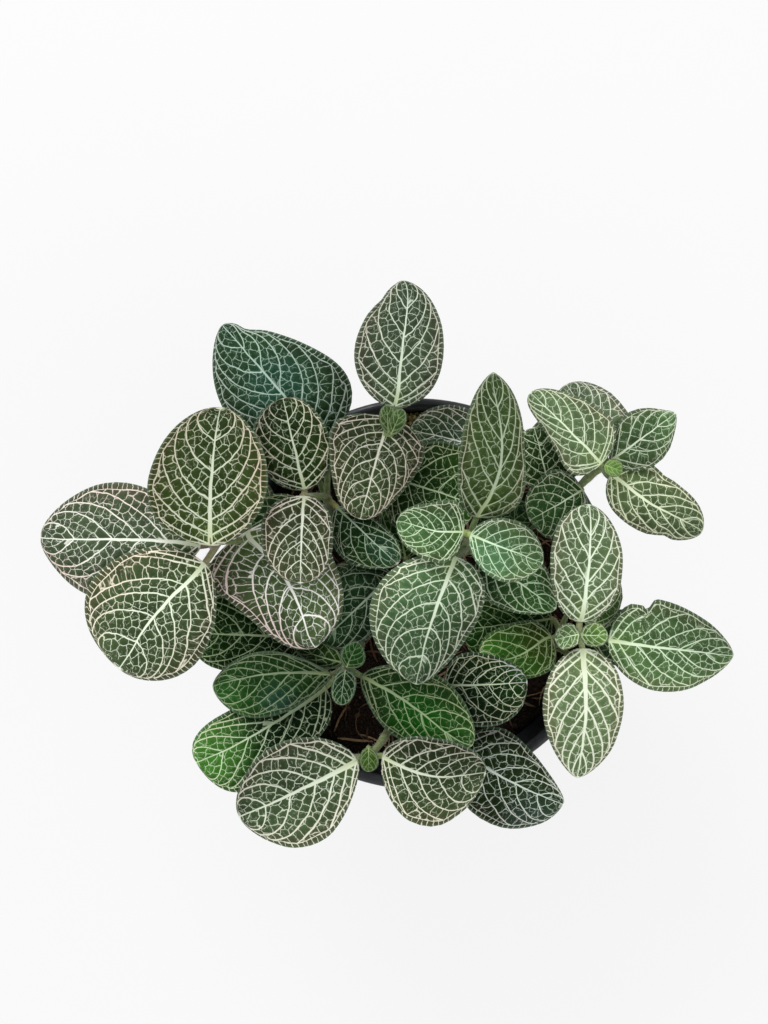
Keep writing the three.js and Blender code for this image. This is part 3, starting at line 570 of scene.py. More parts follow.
# The mesh of a leaf carries four vectors and two colours:
#   lanes   number of the lane between two side veins, mm across the midrib, mm along it
#   spread  mm from one side vein to the next, 0 midrib to 1 margin
#   net     mm across the lane and mm along it, for each corner of a face
#   widths  half width in mm of the midrib, of the side veins and of the net between them
#   blade   blade colour, and 1 on the upper face or 0 on the lower
#   vein    vein colour
def leaf_material():
    surface = Surface("leaf", specular=0.04)
    lane, across, along = surface.attribute("lanes").parts()
    spacing, out, _ = surface.attribute("spread").parts()
    over, run, _ = surface.attribute("net").parts()
    mid_width, side_width, net_width = surface.attribute("widths").parts()
    blade = surface.attribute("blade", "Color")
    face = surface.attribute("blade", "Alpha")
    vein = surface.attribute("vein", "Color")
    place = surface.place()
    wobble = place.rough(0.16) - 0.5
    lane = lane + wobble * 0.3

    # Distances in mm past the edge of each kind of vein.
    width_here = across.size() / out.most(0.03)
    to_mid = (across + wobble * 0.8).size() - mid_width
    to_side = (lane - lane.maths("ROUND")).size() * spacing - side_width
    loop = (lane * 2 * math.pi).maths("COSINE") * 0.02 + 0.895
    to_loop = (out - loop).size() * width_here - side_width * 0.7
    drift = together(over, run).rough(0.55) - 0.5
    bent = together(run, over + 9.0).rough(0.55) - 0.5
    coarse = together((over + bent * 1.2) / 3.7, (run + drift * 1.6) / 3.0)
    to_net = coarse.cells(1.0, 0.72) * 3.2 - net_width
    fine = together((over + bent * 2) / 1.7, (run + drift * 2) / 1.5)
    to_fine = fine.cells(1.0, 1.0) * 1.5 - net_width * 0.35
    ending = together(over + 4.0, run).rough(0.42, 1.0).smooth(0.5, 0.6)
    rung = ((along / 1.9 + drift * 1.2).maths("FRACT") - 0.5).size() * 1.9
    to_rung = rung - net_width
    outer = (out - loop).smooth(0.0, 0.01)
    inner = outer * -1 + 1

    # How much of each vein covers the point.
    mid = to_mid.smooth(-0.14, 0.1, 1.0, 0.0)
    strong = (to_side.smooth(-0.12, 0.12, 1.0, 0.0) * inner).most(to_loop.smooth(-0.12, 0.12, 1.0, 0.0))
    weak = to_net.smooth(-0.08, 0.14, 1.0, 0.0) * inner * 0.8
    weak = weak.most(to_rung.smooth(-0.06, 0.14, 1.0, 0.0) * outer * 0.82)
    faint = to_fine.smooth(-0.06, 0.14, 1.0, 0.0) * ending * inner * 0.32
    cover = mid.most(strong).most(weak).most(faint)

    # The blade is brighter beside the veins, dull and brownish by the margin, and mottled.
    near = to_mid.least(to_side).least(to_net)
    halo = near.smooth(0.0, 1.5, 1.15, 0.85)
    mottle = place.rough(0.35, 3.0).smooth(0.25, 0.75, 0.84, 1.14)
    rim = ((out * -1 + 1) * width_here).smooth(0.15, 1.0, 0.55, 0.0)
    colour = rim.between(blade.times(halo * mottle), rgba(MARGIN_COLOUR))
    surface.set("Base Color", cover.between(colour, vein))

    # Veins sit in grooves on the upper face and stand out under the lower one.
    tissue = near.smooth(-0.1, 1.3) * 0.8 + place.rough(1.6) * 0.12
    surface.bump((tissue - 0.5) * (face * 2 - 1) + 0.5, VEIN_BUMP)
    surface.set("Roughness", place.rough(0.5).smooth(0.3, 0.7, 0.38, 0.5) + cover * 0.1)
    return surface.material


def stem_material():
    surface = Surface("stem", roughness=0.6, sheen=0.25, specular=0.3)
    place = surface.place()
    level = place.rough(0.9, 4.0, 0.6).smooth(0.25, 0.8, 0.7, 1.25)
    colour = surface.attribute("tint", "Color").times(level)
    red = place.rough(0.25).smooth(0.55, 0.75, 0.0, 0.35)
    surface.set("Base Color", red.between(colour, rgba(STEM_BLUSH)))
    surface.bump(place.rough(3.0, 3.0), 0.15)
    return surface.material


def soil_material():
    surface = Surface("soil", roughness=0.92, specular=0.2)
    dark, light, painted_crevice_shade = map(rgba, SOIL_COLOURS)
    place = surface.place()
    grain = place.rough(1.1, 6.0, 0.7)
    crumbs = place.cells(0.7, 1.0, "3D").smooth(0.0, 0.35)
    colour = grain.smooth(0.35, 0.7).between(dark, light)
    # Painted shade: the soil turns near black in the low cracks between crumbs, where the bump sinks.
    surface.set("Base Color", (crumbs * -0.6 + 0.6).between(colour, painted_crevice_shade))
    surface.bump(grain * 0.6 + crumbs * 0.4, 1.2)
    return surface.material


def litter_material():
    surface = Surface("litter", roughness=0.85, specular=0.25)
    place = surface.place()
    level = place.rough(1.4, 5.0, 0.65).smooth(0.2, 0.8, 0.55, 1.3)
    surface.set("Base Color", surface.attribute("tint", "Color").times(level))
    surface.bump(place.rough(2.5, 4.0, 0.6), 0.3)
    return surface.material


def pot_material():
    surface = Surface("pot_plastic", specular=0.5)
    plain, dusty, fleck = map(rgba, POT_COLOURS)
    place = surface.place()
    x, y, z = place.parts()
    dust = place.rough(0.06, 4.0, 0.6).smooth(0.45, 0.75)
    flecks = place.rough(1.3, 3.0, 0.7).smooth(0.66, 0.74)
    colour = (dust * 0.5).between(plain, dusty)
    surface.set("Base Color", (flecks * 0.4).between(colour, fleck))
    streaks = together(x * 0.5, y * 0.5, z * 4).rough(0.5, 3.0)
    surface.bump(streaks * 0.5 + place.rough(4.0, 3.0) * 0.5, 0.08)
    surface.set("Roughness", streaks.smooth(0.3, 0.7, 0.32, 0.5) + dust * 0.15)
    return surface.material


# ---- Leaf blades ----

def fullness(s, tip):
    """How full the outline is at s, 0 at the base and 1 at the tip."""
    return np.sqrt(2 * s) * (2 * (1 - s)) ** tip


def through(values, s):
    """The value at s of the parabola through the three values given for RIB_PLACES."""
    total = 0
    for value, place in zip(values, RIB_PLACES):
        share = value
        for other in RIB_PLACES:
            if other != place:
                share = share * (s - other) / (place - other)
        total = total + share
    return total


def bitten(s, side, bites):
    """What the bites on one side leave of the half width at s."""
    left = 1
    for bite_side, place, width, depth in bites:
        if bite_side == side:
            left = left * (1 - depth * np.exp(-(((s - place) / width) ** 2)))
    return left


class Leaf:
    """The form of one leaf, worked out from its row."""

    def __init__(self, row):
        self.name, self.node, base, tip, self.left_ribs, self.right_ribs, *changes = row
        self.shape = dict(LEAF_DEFAULTS)
        for change in changes:
            self.shape.update(change)
        self.base = np.array(base, dtype=float)
        self.tip = np.array(tip, dtype=float)
        self.along = self.tip - self.base
        self.length = math.hypot(self.along[0], self.along[1])
        self.left = np.array([-self.along[1], self.along[0], 0]) / self.length

    def width(self, s, side):
        """Half width at s on the left (1) or the right (-1)."""
        tip = self.shape["tip"]
        ribs = self.left_ribs if side > 0 else self.right_ribs
        scale = through([rib / fullness(place, tip) for rib, place in zip(ribs, RIB_PLACES)], s)
        return np.maximum(scale, 0.1) * fullness(s, tip) * bitten(s, side, self.shape["bites"])

    def shift(self, s):
        """How far to the left of the line from base to tip the midrib lies."""
        share = through(self.shape["midrib"], s)
        return share * np.where(share >= 0, self.width(s, 1), self.width(s, -1))

    def reach(self, s, side):
        """From the midrib to the margin on one side."""
        return self.width(s, side) - side * self.shift(s)

    def point(self, s, t, side):
        """Points of the upper face in mm: s along the midrib, t from 0 at it to 1 at the margin."""
        shape = self.shape
        bulge = 4 * s * (1 - s)
        shift = self.shift(s)
        across = shift + t * (side * self.width(s, side) - shift)
        points = self.base + np.multiply.outer(s, self.along) + np.multiply.outer(across, self.left)
        ripple = np.sin(2 * np.pi * WAVES * s + (0 if side > 0 else 2)) * t**3
        edge = shape["fold"] * t - shape["roll"] * t * t + shape["wave"] * ripple
        points[..., 2] += shape["arch"] * bulge + np.sqrt(bulge) * edge
        return points


def vein_reach(start, out, slant):
    """How far towards the tip a side vein from start has gone at out, as a share of the rest."""
    straight = 0.05 + (0.5 + 1.1 * slant) * start
    curved = 0.15 + (0.85 - 0.7 * slant) * step(0, 0.3, start)
    return np.tanh(1.15 * (straight * out + curved * out**3))


def vein_place(lane, out, starts, slant):
    """Where on the blade's length a point of a lane lies. Lane -1 to 0 is below the first vein."""
    start = np.interp(np.maximum(lane, 0), np.arange(len(starts)), starts)
    place = start + (1 - start) * vein_reach(start, out, slant)
    lowest = vein_reach(np.zeros_like(out), out, slant)
    return np.where(lane < 0, (lane + 1) * lowest, place)


def lane_rows(count, length):
    """Lane numbers of the rows of points, from near the base to near the tip."""
    fine = int(np.clip(round(length / count / 1.5), 3, 6))
    rows = [share - 1 for share in BASE_ROWS] + [0]
    for lane in range(count - 1):
        rows += [lane + (i + 1) / fine for i in range(fine)]
    rows += [count - 1 + share for share in TIP_ROWS]
    return np.array(rows)


def middle_groove(s):
    """Depth in mm of the groove along the midrib."""
    return GROOVE_DEPTH * (1 - s) * step(0.02, 0.3, s)


def side_points(leaf, side, rows, look, rng):
    """The grid of points on one side of the midrib, and what each point carries."""
    count, slant = look[3:5]
    starts = [(k / count) ** 1.55 for k in range(count + 1)]
    for k in range(1, count):
        starts[k] += rng.uniform(-VEIN_JITTER, VEIN_JITTER)
    lane, out = np.meshgrid(rows, (0, *COLUMNS), indexing="ij")
    s = vein_place(lane, out, starts, slant)

    def flat(lane, out):
        place = np.clip(vein_place(lane, out, starts, slant), 0, 1)
        return np.stack([place * leaf.length, out * leaf.reach(place, side)], -1)

    # The width of the lane at each point, square to the veins.
    lane_step, out_step = 0.2, 0.02
    by_lane = (flat(lane + lane_step, out) - flat(lane - lane_step, out)) / (2 * lane_step)
    by_out = flat(lane, np.minimum(out + out_step, 1)) - flat(lane, np.maximum(out - out_step, 0))
    cross = np.abs(by_lane[..., 0] * by_out[..., 1] - by_lane[..., 1] * by_out[..., 0])
    spacing = cross / np.maximum(np.hypot(by_out[..., 0], by_out[..., 1]), 1e-6)
    here = flat(lane, out)
    across = here[..., 1] * side

    # How far along its lane each point lies, measured on the line down the middle of the lane:
    # as a point of the lane above its row, and as one of the lane below.
    above, below = np.zeros_like(lane), np.zeros_like(lane)
    fine = np.linspace(0, 1, 240)
    for k in range(-1, count):
        middle = flat(np.full_like(fine, k + 0.5), fine)
        gone = np.concatenate([[0], np.cumsum(np.hypot(*np.diff(middle, axis=0).T))])
        inside = np.flatnonzero((rows >= k) & (rows <= k + 1))
        gap = ((here[inside][:, :, None, :] - middle) ** 2).sum(-1)
        run = gone[gap.argmin(-1)]
        above[inside[rows[inside] < k + 1]] = run[rows[inside] < k + 1]
        below[inside[rows[inside] > k]] = run[rows[inside] > k]

    # The blade swells between the veins and has a groove along the midrib.
    points = leaf.point(s, out, side)
    pillow = np.sin(np.pi * (lane - np.floor(lane))) ** 0.8
    pillow = pillow * np.clip(spacing / 7, 0.15, 1) * np.sin(np.pi * out) ** 0.6
    points[..., 2] += PILLOW_HEIGHT * pillow - np.exp(-((across / 1.3) ** 2)) * middle_groove(s)
    return {
        "points": points, "s": s, "out": out, "across": across, "spacing": spacing,
        "above": above, "below": below,
    }


def leaf_colours(leaf, points, s, out, left, look, seed):
    """Blade and vein colour of each point, with painted shade and a painted sheen; left is 1 on the left of
    the midrib, -1 on the right.
    """
    # The blade and vein colours of the lower leaves are darkened partly as painted shade from the leaves
    # above.
    blade, vein, _, _, _, *tint_and_painted_sheen_patches = look
    blade = linear(blade)
    tint = np.ones((len(points), 1)) * blade
    tint = tint * (1 + 0.22 * wander(points, 14, seed))[:, None]
    pale = 0.45 * (1 - step(0.0, 0.35, s)) * (1 - step(0.1, 0.7, out))
    tint = toward(tint, blade * np.array([1.7, 1.5, 0.9]), pale)
    tint = toward(tint, blade * np.array([1.3, 0.82, 0.95]), 0.75 * step(0.62, 0.95, out))
    green = 0.5 * (1 - step(0.0, 0.25, s)) * (1 - step(0.0, 0.4, out))
    veins = toward(np.ones((len(points), 1)) * linear(vein), linear(BASE_VEIN), green)
    flush = FLUSH.get(leaf.name[0], 0.3) * step(0.15, 0.8, out) * (0.8 + 0.4 * wander(points, 18, seed + 5))
    veins = toward(veins, veins * np.array([1.02, 0.84, 0.86]), flush)
    # A patch of another colour; on the teal ones this is a painted sheen, the reflection of the sky.
    for along, across, radius, colour, strength in tint_and_painted_sheen_patches:
        centre = leaf.point(np.array([along]), np.array([abs(across)]), 1 if across >= 0 else -1)
        away = np.hypot(points[:, 0] - centre[0, 0], points[:, 1] - centre[0, 1])
        tint = toward(tint, linear(colour), strength * (1 - step(0.25 * radius, radius, away)))
    # Painted shade and light: the leaf made darker or lighter along and across it, mostly for the shade
    # that the leaves above cast on it.
    to_tip, to_left = PAINTED_SHADING.get(leaf.name, (0, 0))
    painted_shading = np.exp(to_tip * (2 * s - 1) + to_left * left * out)[:, None]
    return np.clip(tint * painted_shading, 0.002, 1), np.clip(veins * painted_shading**0.6, 0, 1)


def make_leaf(leaf, stem, number, material):
    """The blade as one closed piece: a finely quilted upper face, a lower face and a margin."""
    look = LOOKS.get(leaf.name, PLAIN_LOOK)
    thick, count = look[2:4]
    rng = random.Random(leaf.name)
    rows = lane_rows(count, leaf.length)
    width, last = len(COLUMNS), len(rows) - 1
    sides = {side: side_points(leaf, side, rows, look, rng) for side in (1, -1)}

    # The point at the base, the two sides with their shared midrib, and the point at the tip.
    middle = (sides[1]["s"][:, 0] + sides[-1]["s"][:, 0]) / 2
    rib = leaf.point(middle, np.zeros_like(middle), 1)
    rib[:, 2] -= middle_groove(middle)
    points, data, index = [leaf.base], [(-1, 0, 0, 3, 0)], {}
    for r, lane in enumerate(rows):
        index[r, 0] = 0
        if lane > 0:
            index[r, 0] = len(points)
            spacing = (sides[1]["spacing"][r, 0] + sides[-1]["spacing"][r, 0]) / 2
            points.append(rib[r])
            data.append((lane, 0, middle[r] * leaf.length, spacing, 0))
        for side, grid in sides.items():
            for c in range(1, width + 1):
                index[r, side * c] = len(points)
                points.append(grid["points"][r, c])
                run = grid["s"][r, c] * leaf.length
                data.append((lane, grid["across"][r, c], run, grid["spacing"][r, c], grid["out"][r, c]))
    tip = len(points)
    points.append(leaf.tip)
    data.append((count, 0, leaf.length, 0.5, 0))

    def shift(lane, side):
        return LANE_SHIFT * lane + SIDE_SHIFT * side + LEAF_SHIFT * number

    def net(r, c, lane, side):
        """Where a face corner lies in the net of its lane: mm across the lane and mm along it."""
        grid = sides[side]
        run = grid["above" if rows[r] < lane + 1 else "below"][r, abs(c)]
        return (rows[r] - lane) * grid["spacing"][r, abs(c)], run + shift(lane, side), 0

    # Faces of the upper side, counter-clockwise from above, each with its corners in the net.
    upper, nets = [], []
    for c in range(-width, width):
        side = 1 if c >= 0 else -1
        upper.append((0, index[0, c], index[0, c + 1]))
        nets.append(((0, shift(-1, side), 0), net(0, c, -1, side), net(0, c + 1, -1, side)))
        upper.append((tip, index[last, c + 1], index[last, c]))
        ends = net(last, c + 1, count - 1, side), net(last, c, count - 1, side)
        nets.append((ends[0], *ends))
        for r in range(last):
            lane = math.floor(rows[r] + 1e-9)
            places = ((r, c), (r + 1, c), (r + 1, c + 1), (r, c + 1))
            face = {index[place]: net(*place, lane, side) for place in places}
            upper.append(tuple(face))
            nets.append(tuple(face.values()))
    kept = [i for i, face in enumerate(upper) if len(set(face)) > 2]
    upper, nets = [upper[i] for i in kept], [nets[i] for i in kept]

    top = np.array(points)
    data = np.array(data, dtype=float)
    lane, across, along, spacing, out = data.T
    s = along / leaf.length
    seed = number + 1
    top[:, 2] += 0.35 * wander(top, 5.5, seed) * np.clip(s * 6, 0, 1) * np.clip((1 - s) * 8, 0, 1)
    blade, vein = leaf_colours(leaf, top, s, out, np.sign(across), look, seed)

    # The lower face, with the midrib standing out, and a rounded strip along the margin.
    depth = BLADE_THICKNESS + (MARGIN_THICKNESS - BLADE_THICKNESS) * step(0.5, 1, out)
    ridge = 0.5 * thick * np.exp(-((across / 1.1) ** 2)) * (1 - s) * step(0, 0.05, s)
    beneath = top.copy()
    beneath[:, 2] -= depth + ridge
    size = len(top)
    right = [(r, -width) for r in range(last + 1)]
    left = [(r, width) for r in range(last, -1, -1)]
    edge = [0, *(index[place] for place in right), tip, *(index[place] for place in left)]
    edge_nets = [
        net(r, c, math.floor(rows[r] + 1e-9), 1 if c > 0 else -1)
        for r, c in (right[0], *right, right[-1], *left)
    ]
    outward = top[edge] - top[edge].mean(axis=0)
    outward[:, 2] = 0
    outward /= np.maximum(np.linalg.norm(outward, axis=1), 1e-6)[:, None]
    strip = (top[edge] + beneath[edge]) / 2 + MARGIN_BULGE * outward
    faces = upper + [tuple(v + size for v in reversed(face)) for face in upper]
    corners = nets + [tuple(reversed(values)) for values in nets]
    for i, a in enumerate(edge):
        j = (i + 1) % len(edge)
        b, p, q = edge[j], 2 * size + i, 2 * size + j
        faces += [(a, p, q, b), (p, a + size, b + size, q)]
        corners += [(edge_nets[i], edge_nets[i], edge_nets[j], edge_nets[j])] * 2

    everything = np.concatenate([top, beneath, strip])
    piece = make_piece("leaf_" + leaf.name, everything, faces, material, stem, "foliage")
    lane, across, along, spacing, out = np.concatenate([data, data, data[edge]]).T
    s = along / leaf.length
    mark(piece, "lanes", lane, across, along)
    mark(piece, "spread", spacing, out, np.zeros(len(out)))
    mark(piece, "net", *np.concatenate([np.array(values) for values in corners]).T, domain="CORNER")
    scale = thick * min(1, (leaf.length / FULL_LENGTH) ** 0.6)
    mid_width = scale * (0.66 * (1 - s) ** 1.3 + 0.16)
    side_width = scale * (0.25 - 0.03 * out) * (1 - 0.25 * s)
    mark(piece, "widths", mid_width, side_width, scale * (0.095 - 0.03 * s))
    under_blade = blade * 0.5 + 0.5 * linear(UNDER_BLADE)
    under_vein = vein * 0.5 + 0.5 * linear(UNDER_VEIN)
    faced = np.concatenate([np.ones(size), np.zeros(size), np.ones(len(edge))])
    paint(piece, "blade", np.concatenate([blade, under_blade, blade[edge]]), faced)
    paint(piece, "vein", np.concatenate([vein, under_vein, vein[edge]]), 1)


# ---- Tubes: stems, stalks, fibres and hairs ----

# The pairs of knots that each round of the smooth curve lies between.
KNOT_ROUNDS = (((0, 1), (1, 2), (2, 3)), ((0, 2), (1, 3)), ((1, 2),))
CURVE_STEPS = 24


def smooth_line(points, count):
    """Points spread evenly along a smooth line through the given ones."""
    points = [np.array(point, dtype=float) for point in points]
    points = [2 * points[0] - points[1], *points, 2 * points[-1] - points[-2]]
    line = []
    for i in range(len(points) - 3):
        four = points[i:i + 4]
        knots = [0.0]
        for a, b in zip(four, four[1:]):
            knots.append(knots[-1] + max(np.linalg.norm(b - a), 1e-6) ** 0.5)
        for share in np.arange(0, 1, 1 / CURVE_STEPS):
            at = knots[1] + share * (knots[2] - knots[1])
            level = four
            for pairs in KNOT_ROUNDS:
                level = [
                    a + (b - a) * ((at - knots[low]) / (knots[high] - knots[low]))
                    for a, b, (low, high) in zip(level, level[1:], pairs)
                ]
            line.append(level[0])
    line.append(points[-2])
    line = np.array(line)
    gone = np.concatenate([[0], np.cumsum(np.linalg.norm(np.diff(line, axis=0), axis=1))])
    wanted = np.linspace(0, gone[-1], count)
    return np.stack([np.interp(wanted, gone, line[:, axis]) for axis in range(3)], -1)


class Heap:
    """Points, faces and point colours gathered for one piece."""

    def __init__(self):
        self.points, self.faces, self.colours = [], [], []

    def tube(self, line, radii, sides, colours):
        """A closed tube along a line, with a radius and a colour for each of its points."""
        line = np.asarray(line)
        start, turns = len(self.points), circle(sides)
        tangents = np.gradient(line, axis=0)
        tangents /= np.maximum(np.linalg.norm(tangents, axis=1), 1e-9)[:, None]
        side = np.array([0.6, 0.8, 0.05])
        rings = []
        for centre, tangent, radius, colour in zip(line, tangents, radii, colours):
            side = side - side.dot(tangent) * tangent
            side /= np.linalg.norm(side)
            other = np.cross(tangent, side)
            rings.append([centre + radius * (side * c + other * s) for c, s in turns])
            self.points += rings[-1]
            self.colours += [colour] * sides
        end = start + (len(line) - 1) * sides
        for ring in range(start, end, sides):
            for i in range(sides):
                a, b = ring + i, ring + (i + 1) % sides
                self.faces.append((a, b, b + sides, a + sides))
        self.faces.append(tuple(reversed(range(start, start + sides))))
        self.faces.append(tuple(range(end, end + sides)))
        return rings

    def hair(self, root, direction, length, radius, colour):
        """A fine hair with three sides."""
        direction = direction / np.linalg.norm(direction)
        side = np.cross(direction, (0.3, 0.5, 0.8))
        side /= np.linalg.norm(side)
        other = np.cross(direction, side)
        a, b, c, tip = (len(self.points) + i for i in range(4))
        self.points += [root + radius * (side * cos + other * sin) for cos, sin in circle(3)]
        self.points.append(root + direction * length)
        self.colours += [colour] * 4
        self.faces += [(a, b, tip), (b, c, tip), (c, a, tip), (c, b, a)]

    def piece(self, name, material, node, slot):
        piece = make_piece(name, self.points, self.faces, material, node, slot)
        paint(piece, "tint", self.colours, 1)


def grow_hairs(heap, rings, line, rng):
    """Short hairs all over a tube, square to it and a little ruffled."""
    pale = linear(HAIR_COLOUR)
    for r in range(len(rings) - 1):
        gap = np.linalg.norm(line[r + 1] - line[r])
        girth = 2 * math.pi * np.linalg.norm(rings[r][0] - line[r])
        wanted = gap * girth * HAIRS_PER_SQUARE_MM
        count = int(wanted) + (rng.random() < wanted % 1)
        for _ in range(count):
            i, share = rng.randrange(len(rings[r])), rng.random()
            root = rings[r][i] * (1 - share) + rings[r + 1][i] * share
            centre = line[r] * (1 - share) + line[r + 1] * share
            out = (root - centre) / np.linalg.norm(root - centre)
            ruffle = np.array([rng.uniform(-HAIR_RUFFLE, HAIR_RUFFLE) for _ in range(3)])
            length = rng.uniform(*HAIR_LENGTH)
            shade = pale * rng.uniform(0.7, 1.1)
            heap.hair(root - HAIR_ROOT * out, out + ruffle, length + HAIR_ROOT, HAIR_RADIUS, shade)


def make_stem(name, path, leaves, material):
    """The axis of one stem with its swollen joints, its leaf stalks and the hairs on them."""
    rng = random.Random(name)
    heap = Heap()
    nodes = [np.array(point, dtype=float) for point in path]
    x, y = nodes[0][:2]
    axis = [np.array([x, y, ROOT_END]), np.array([x, y, STEM_STRAIGHT_FROM]), *nodes]
    line = smooth_line(axis, 6 * len(axis) + 8)
    share = np.linspace(0, 1, len(line))
    radii = STEM_RADIUS + (STEM_TOP_RADIUS - STEM_RADIUS) * share
    for node in nodes[1:]:
        away = np.linalg.norm(line - node, axis=1)
        radii = radii * (1 + JOINT_SWELLING * np.exp(-((away / JOINT_LENGTH) ** 2)))
    brown, green = linear(STEM_COLOUR), linear(STALK_COLOUR)
    rings = heap.tube(line, radii, TUBE_SIDES, [brown * (1 - 0.9 * t) + green * 0.9 * t for t in share])
    above = int(np.searchsorted(line[:, 2], HAIRS_FROM_HEIGHT))
    grow_hairs(heap, rings[above:], line[above:], rng)
    for leaf in leaves:
        entry = leaf.base.copy()
        entry[2] -= STALK_DEPTH + STALK_RADIUS
        end = leaf.point(np.array([STALK_REACH]), np.array([0.0]), 1)[0]
        end[2] -= STALK_DEPTH + STALK_END_RADIUS + STALK_END_DEPTH
        line = smooth_line([nodes[leaf.node], entry, end], STALK_RINGS)
        share = np.linspace(0, 1, len(line))
        colour, thick = STALKS.get(leaf.name, (STALK_COLOUR, 1.0))
        radii = STALK_RADIUS + (STALK_END_RADIUS - STALK_RADIUS) * share
        radii = radii * (1 + (thick - 1) * np.sin(np.pi * share) ** 0.7)
        rings = heap.tube(line, radii, TUBE_SIDES, [linear(colour)] * len(line))
        bare = int(np.searchsorted(share, HAIRS_TO_SHARE))
        grow_hairs(heap, rings[:bare], line[:bare], rng)
    heap.piece(name + "_stalks", material, name, "foliage")


# ---- Pot and soil ----

def pot_radius(height):
    """Radius of the pot's outside at a height: the tapering body, then the wider collar."""
    neck = RIM_RADIUS - RIM_WIDTH
    slope = (neck - COLLAR_STEP - BASE_RADIUS) / (POT_HEIGHT - RIM_DEPTH)
    return BASE_RADIUS + slope * height + (COLLAR_STEP if height >= POT_HEIGHT - COLLAR_DEPTH else 0)


def turned(profile, sides):
    """Points and faces of a solid of revolution from its radii and heights, axis to axis."""
    points = [(0, 0, profile[0][1])]
    for radius, height in profile[1:-1]:
        points += [(radius * c, radius * s, height) for c, s in circle(sides)]
    points.append((0, 0, profile[-1][1]))
    rings, end = len(profile) - 2, len(points) - 1
    faces = []
    for i in range(sides):
        j = (i + 1) % sides
        faces.append((0, 1 + j, 1 + i))
        for ring in range(rings - 1):
            a = 1 + ring * sides
            faces.append((a + i, a + j, a + sides + j, a + sides + i))
        faces.append((end, end - sides + i, end - sides + j))
    return points, faces


def pot_profile():
    """The pot's section, up its outside and down its inside. The small offsets round its edges."""
    collar, under, neck = POT_HEIGHT - COLLAR_DEPTH, POT_HEIGHT - RIM_DEPTH, RIM_RADIUS - RIM_WIDTH
    foot = BASE_RADIUS - FOOT_WIDTH
    base = [
        (0, BASE_LIFT), (foot - 1, BASE_LIFT), (foot, 0), (BASE_RADIUS - 1.5, 0),
        (BASE_RADIUS - 0.4, 0.4), (BASE_RADIUS, 1.5), (pot_radius(4), 4),
    ]
    step_out = [
        (pot_radius(collar - 2.4), collar - 2.4), (pot_radius(collar - 2), collar - 2),
        (pot_radius(collar) - 0.3, collar - 0.2), (pot_radius(collar), collar + 0.4),
        (pot_radius(under - 1) - 0.1, under - 1),
    ]
    rim = [
        (neck, under - 0.3), (neck + 0.4, under), (RIM_RADIUS - 0.6, under),
        (RIM_RADIUS - 0.15, under + 0.4), (RIM_RADIUS, under + 1), (RIM_RADIUS, POT_HEIGHT - 1.4),
        (RIM_RADIUS - 0.2, POT_HEIGHT - 0.7), (RIM_RADIUS - 0.8, POT_HEIGHT - 0.2),
        (RIM_RADIUS - 1.5, POT_HEIGHT), (neck + 0.4, POT_HEIGHT - 0.1),
        (neck - 0.4, POT_HEIGHT - 0.5), (neck - WALL + 0.2, POT_HEIGHT - 1),
    ]
    inside = [
        (neck - WALL, POT_HEIGHT - 1.6), (neck - WALL, under), (pot_radius(collar) - WALL, collar),
        (pot_radius(collar - 2) - WALL, collar - 2),
        (pot_radius(EVEN_WALL_FROM) - WALL, EVEN_WALL_FROM),
        (BASE_RADIUS - WALL, POT_FLOOR), (0, POT_FLOOR),
    ]
    return base + step_out + rim + inside


def apply_modifiers(piece):
    """Replaces the piece's mesh by what its modifiers make of it."""
    graph = bpy.context.evaluated_depsgraph_get()
    mesh = bpy.data.meshes.new_from_object(piece.evaluated_get(graph))
    piece.modifiers.clear()
    piece.data = mesh


def make_pot(material):
    """The pot's shell, with its drain holes drilled and its edges kept crisp."""
    pot = make_piece("pot_shell", *turned(pot_profile(), POT_SIDES), material, "pot", "pot_plastic")
    drills = bmesh.new()
    for i in range(DRAIN_COUNT):
        angle = 2 * math.pi * (i + 0.5) / DRAIN_COUNT
        made = bmesh.ops.create_cone(
            drills, cap_ends=True, segments=32, radius1=DRAIN_RADIUS * MM,
            radius2=DRAIN_RADIUS * MM, depth=DRILL_LENGTH * MM,
        )
        shift = Vector((math.cos(angle), math.sin(angle), 0)) * DRAIN_CIRCLE * MM
        bmesh.ops.translate(drills, vec=shift, verts=made["verts"])
    drill_mesh = bpy.data.meshes.new("drills")
    drills.to_mesh(drill_mesh)
    drills.free()
    cutter = new_object("drills", drill_mesh)
    cut = pot.modifiers.new("holes", "BOOLEAN")
    cut.operation, cut.solver, cut.object = "DIFFERENCE", "EXACT", cutter
    apply_modifiers(pot)
    bpy.data.objects.remove(cutter)
    for polygon in pot.data.polygons:
        polygon.use_smooth = True
    creases = pot.modifiers.new("edges", "EDGE_SPLIT")
    creases.split_angle = math.radians(CREASE_DEGREES)
    apply_modifiers(pot)


def soil_height(x, y):
    """Height of the soil's uneven top: a low crown, soft hollows and crumbs."""
    edge = pot_radius(SOIL_TOP - 2) - WALL - SOIL_GAP
    share = math.hypot(x, y) / edge
    height = SOIL_TOP - 0.6 + SOIL_CROWN * (1 - share**2) - 1.6 * max(0, share - 0.88) / 0.12
    height += 0.9 * math.sin(x * 0.31 + 1) * math.cos(y * 0.27)
    place = Vector((x, y, 0))
    height += 1.1 * noise.noise(place / 9) + 0.7 * noise.noise(place / 3.5)
    return height + 0.35 * noise.noise(place / 1.4)


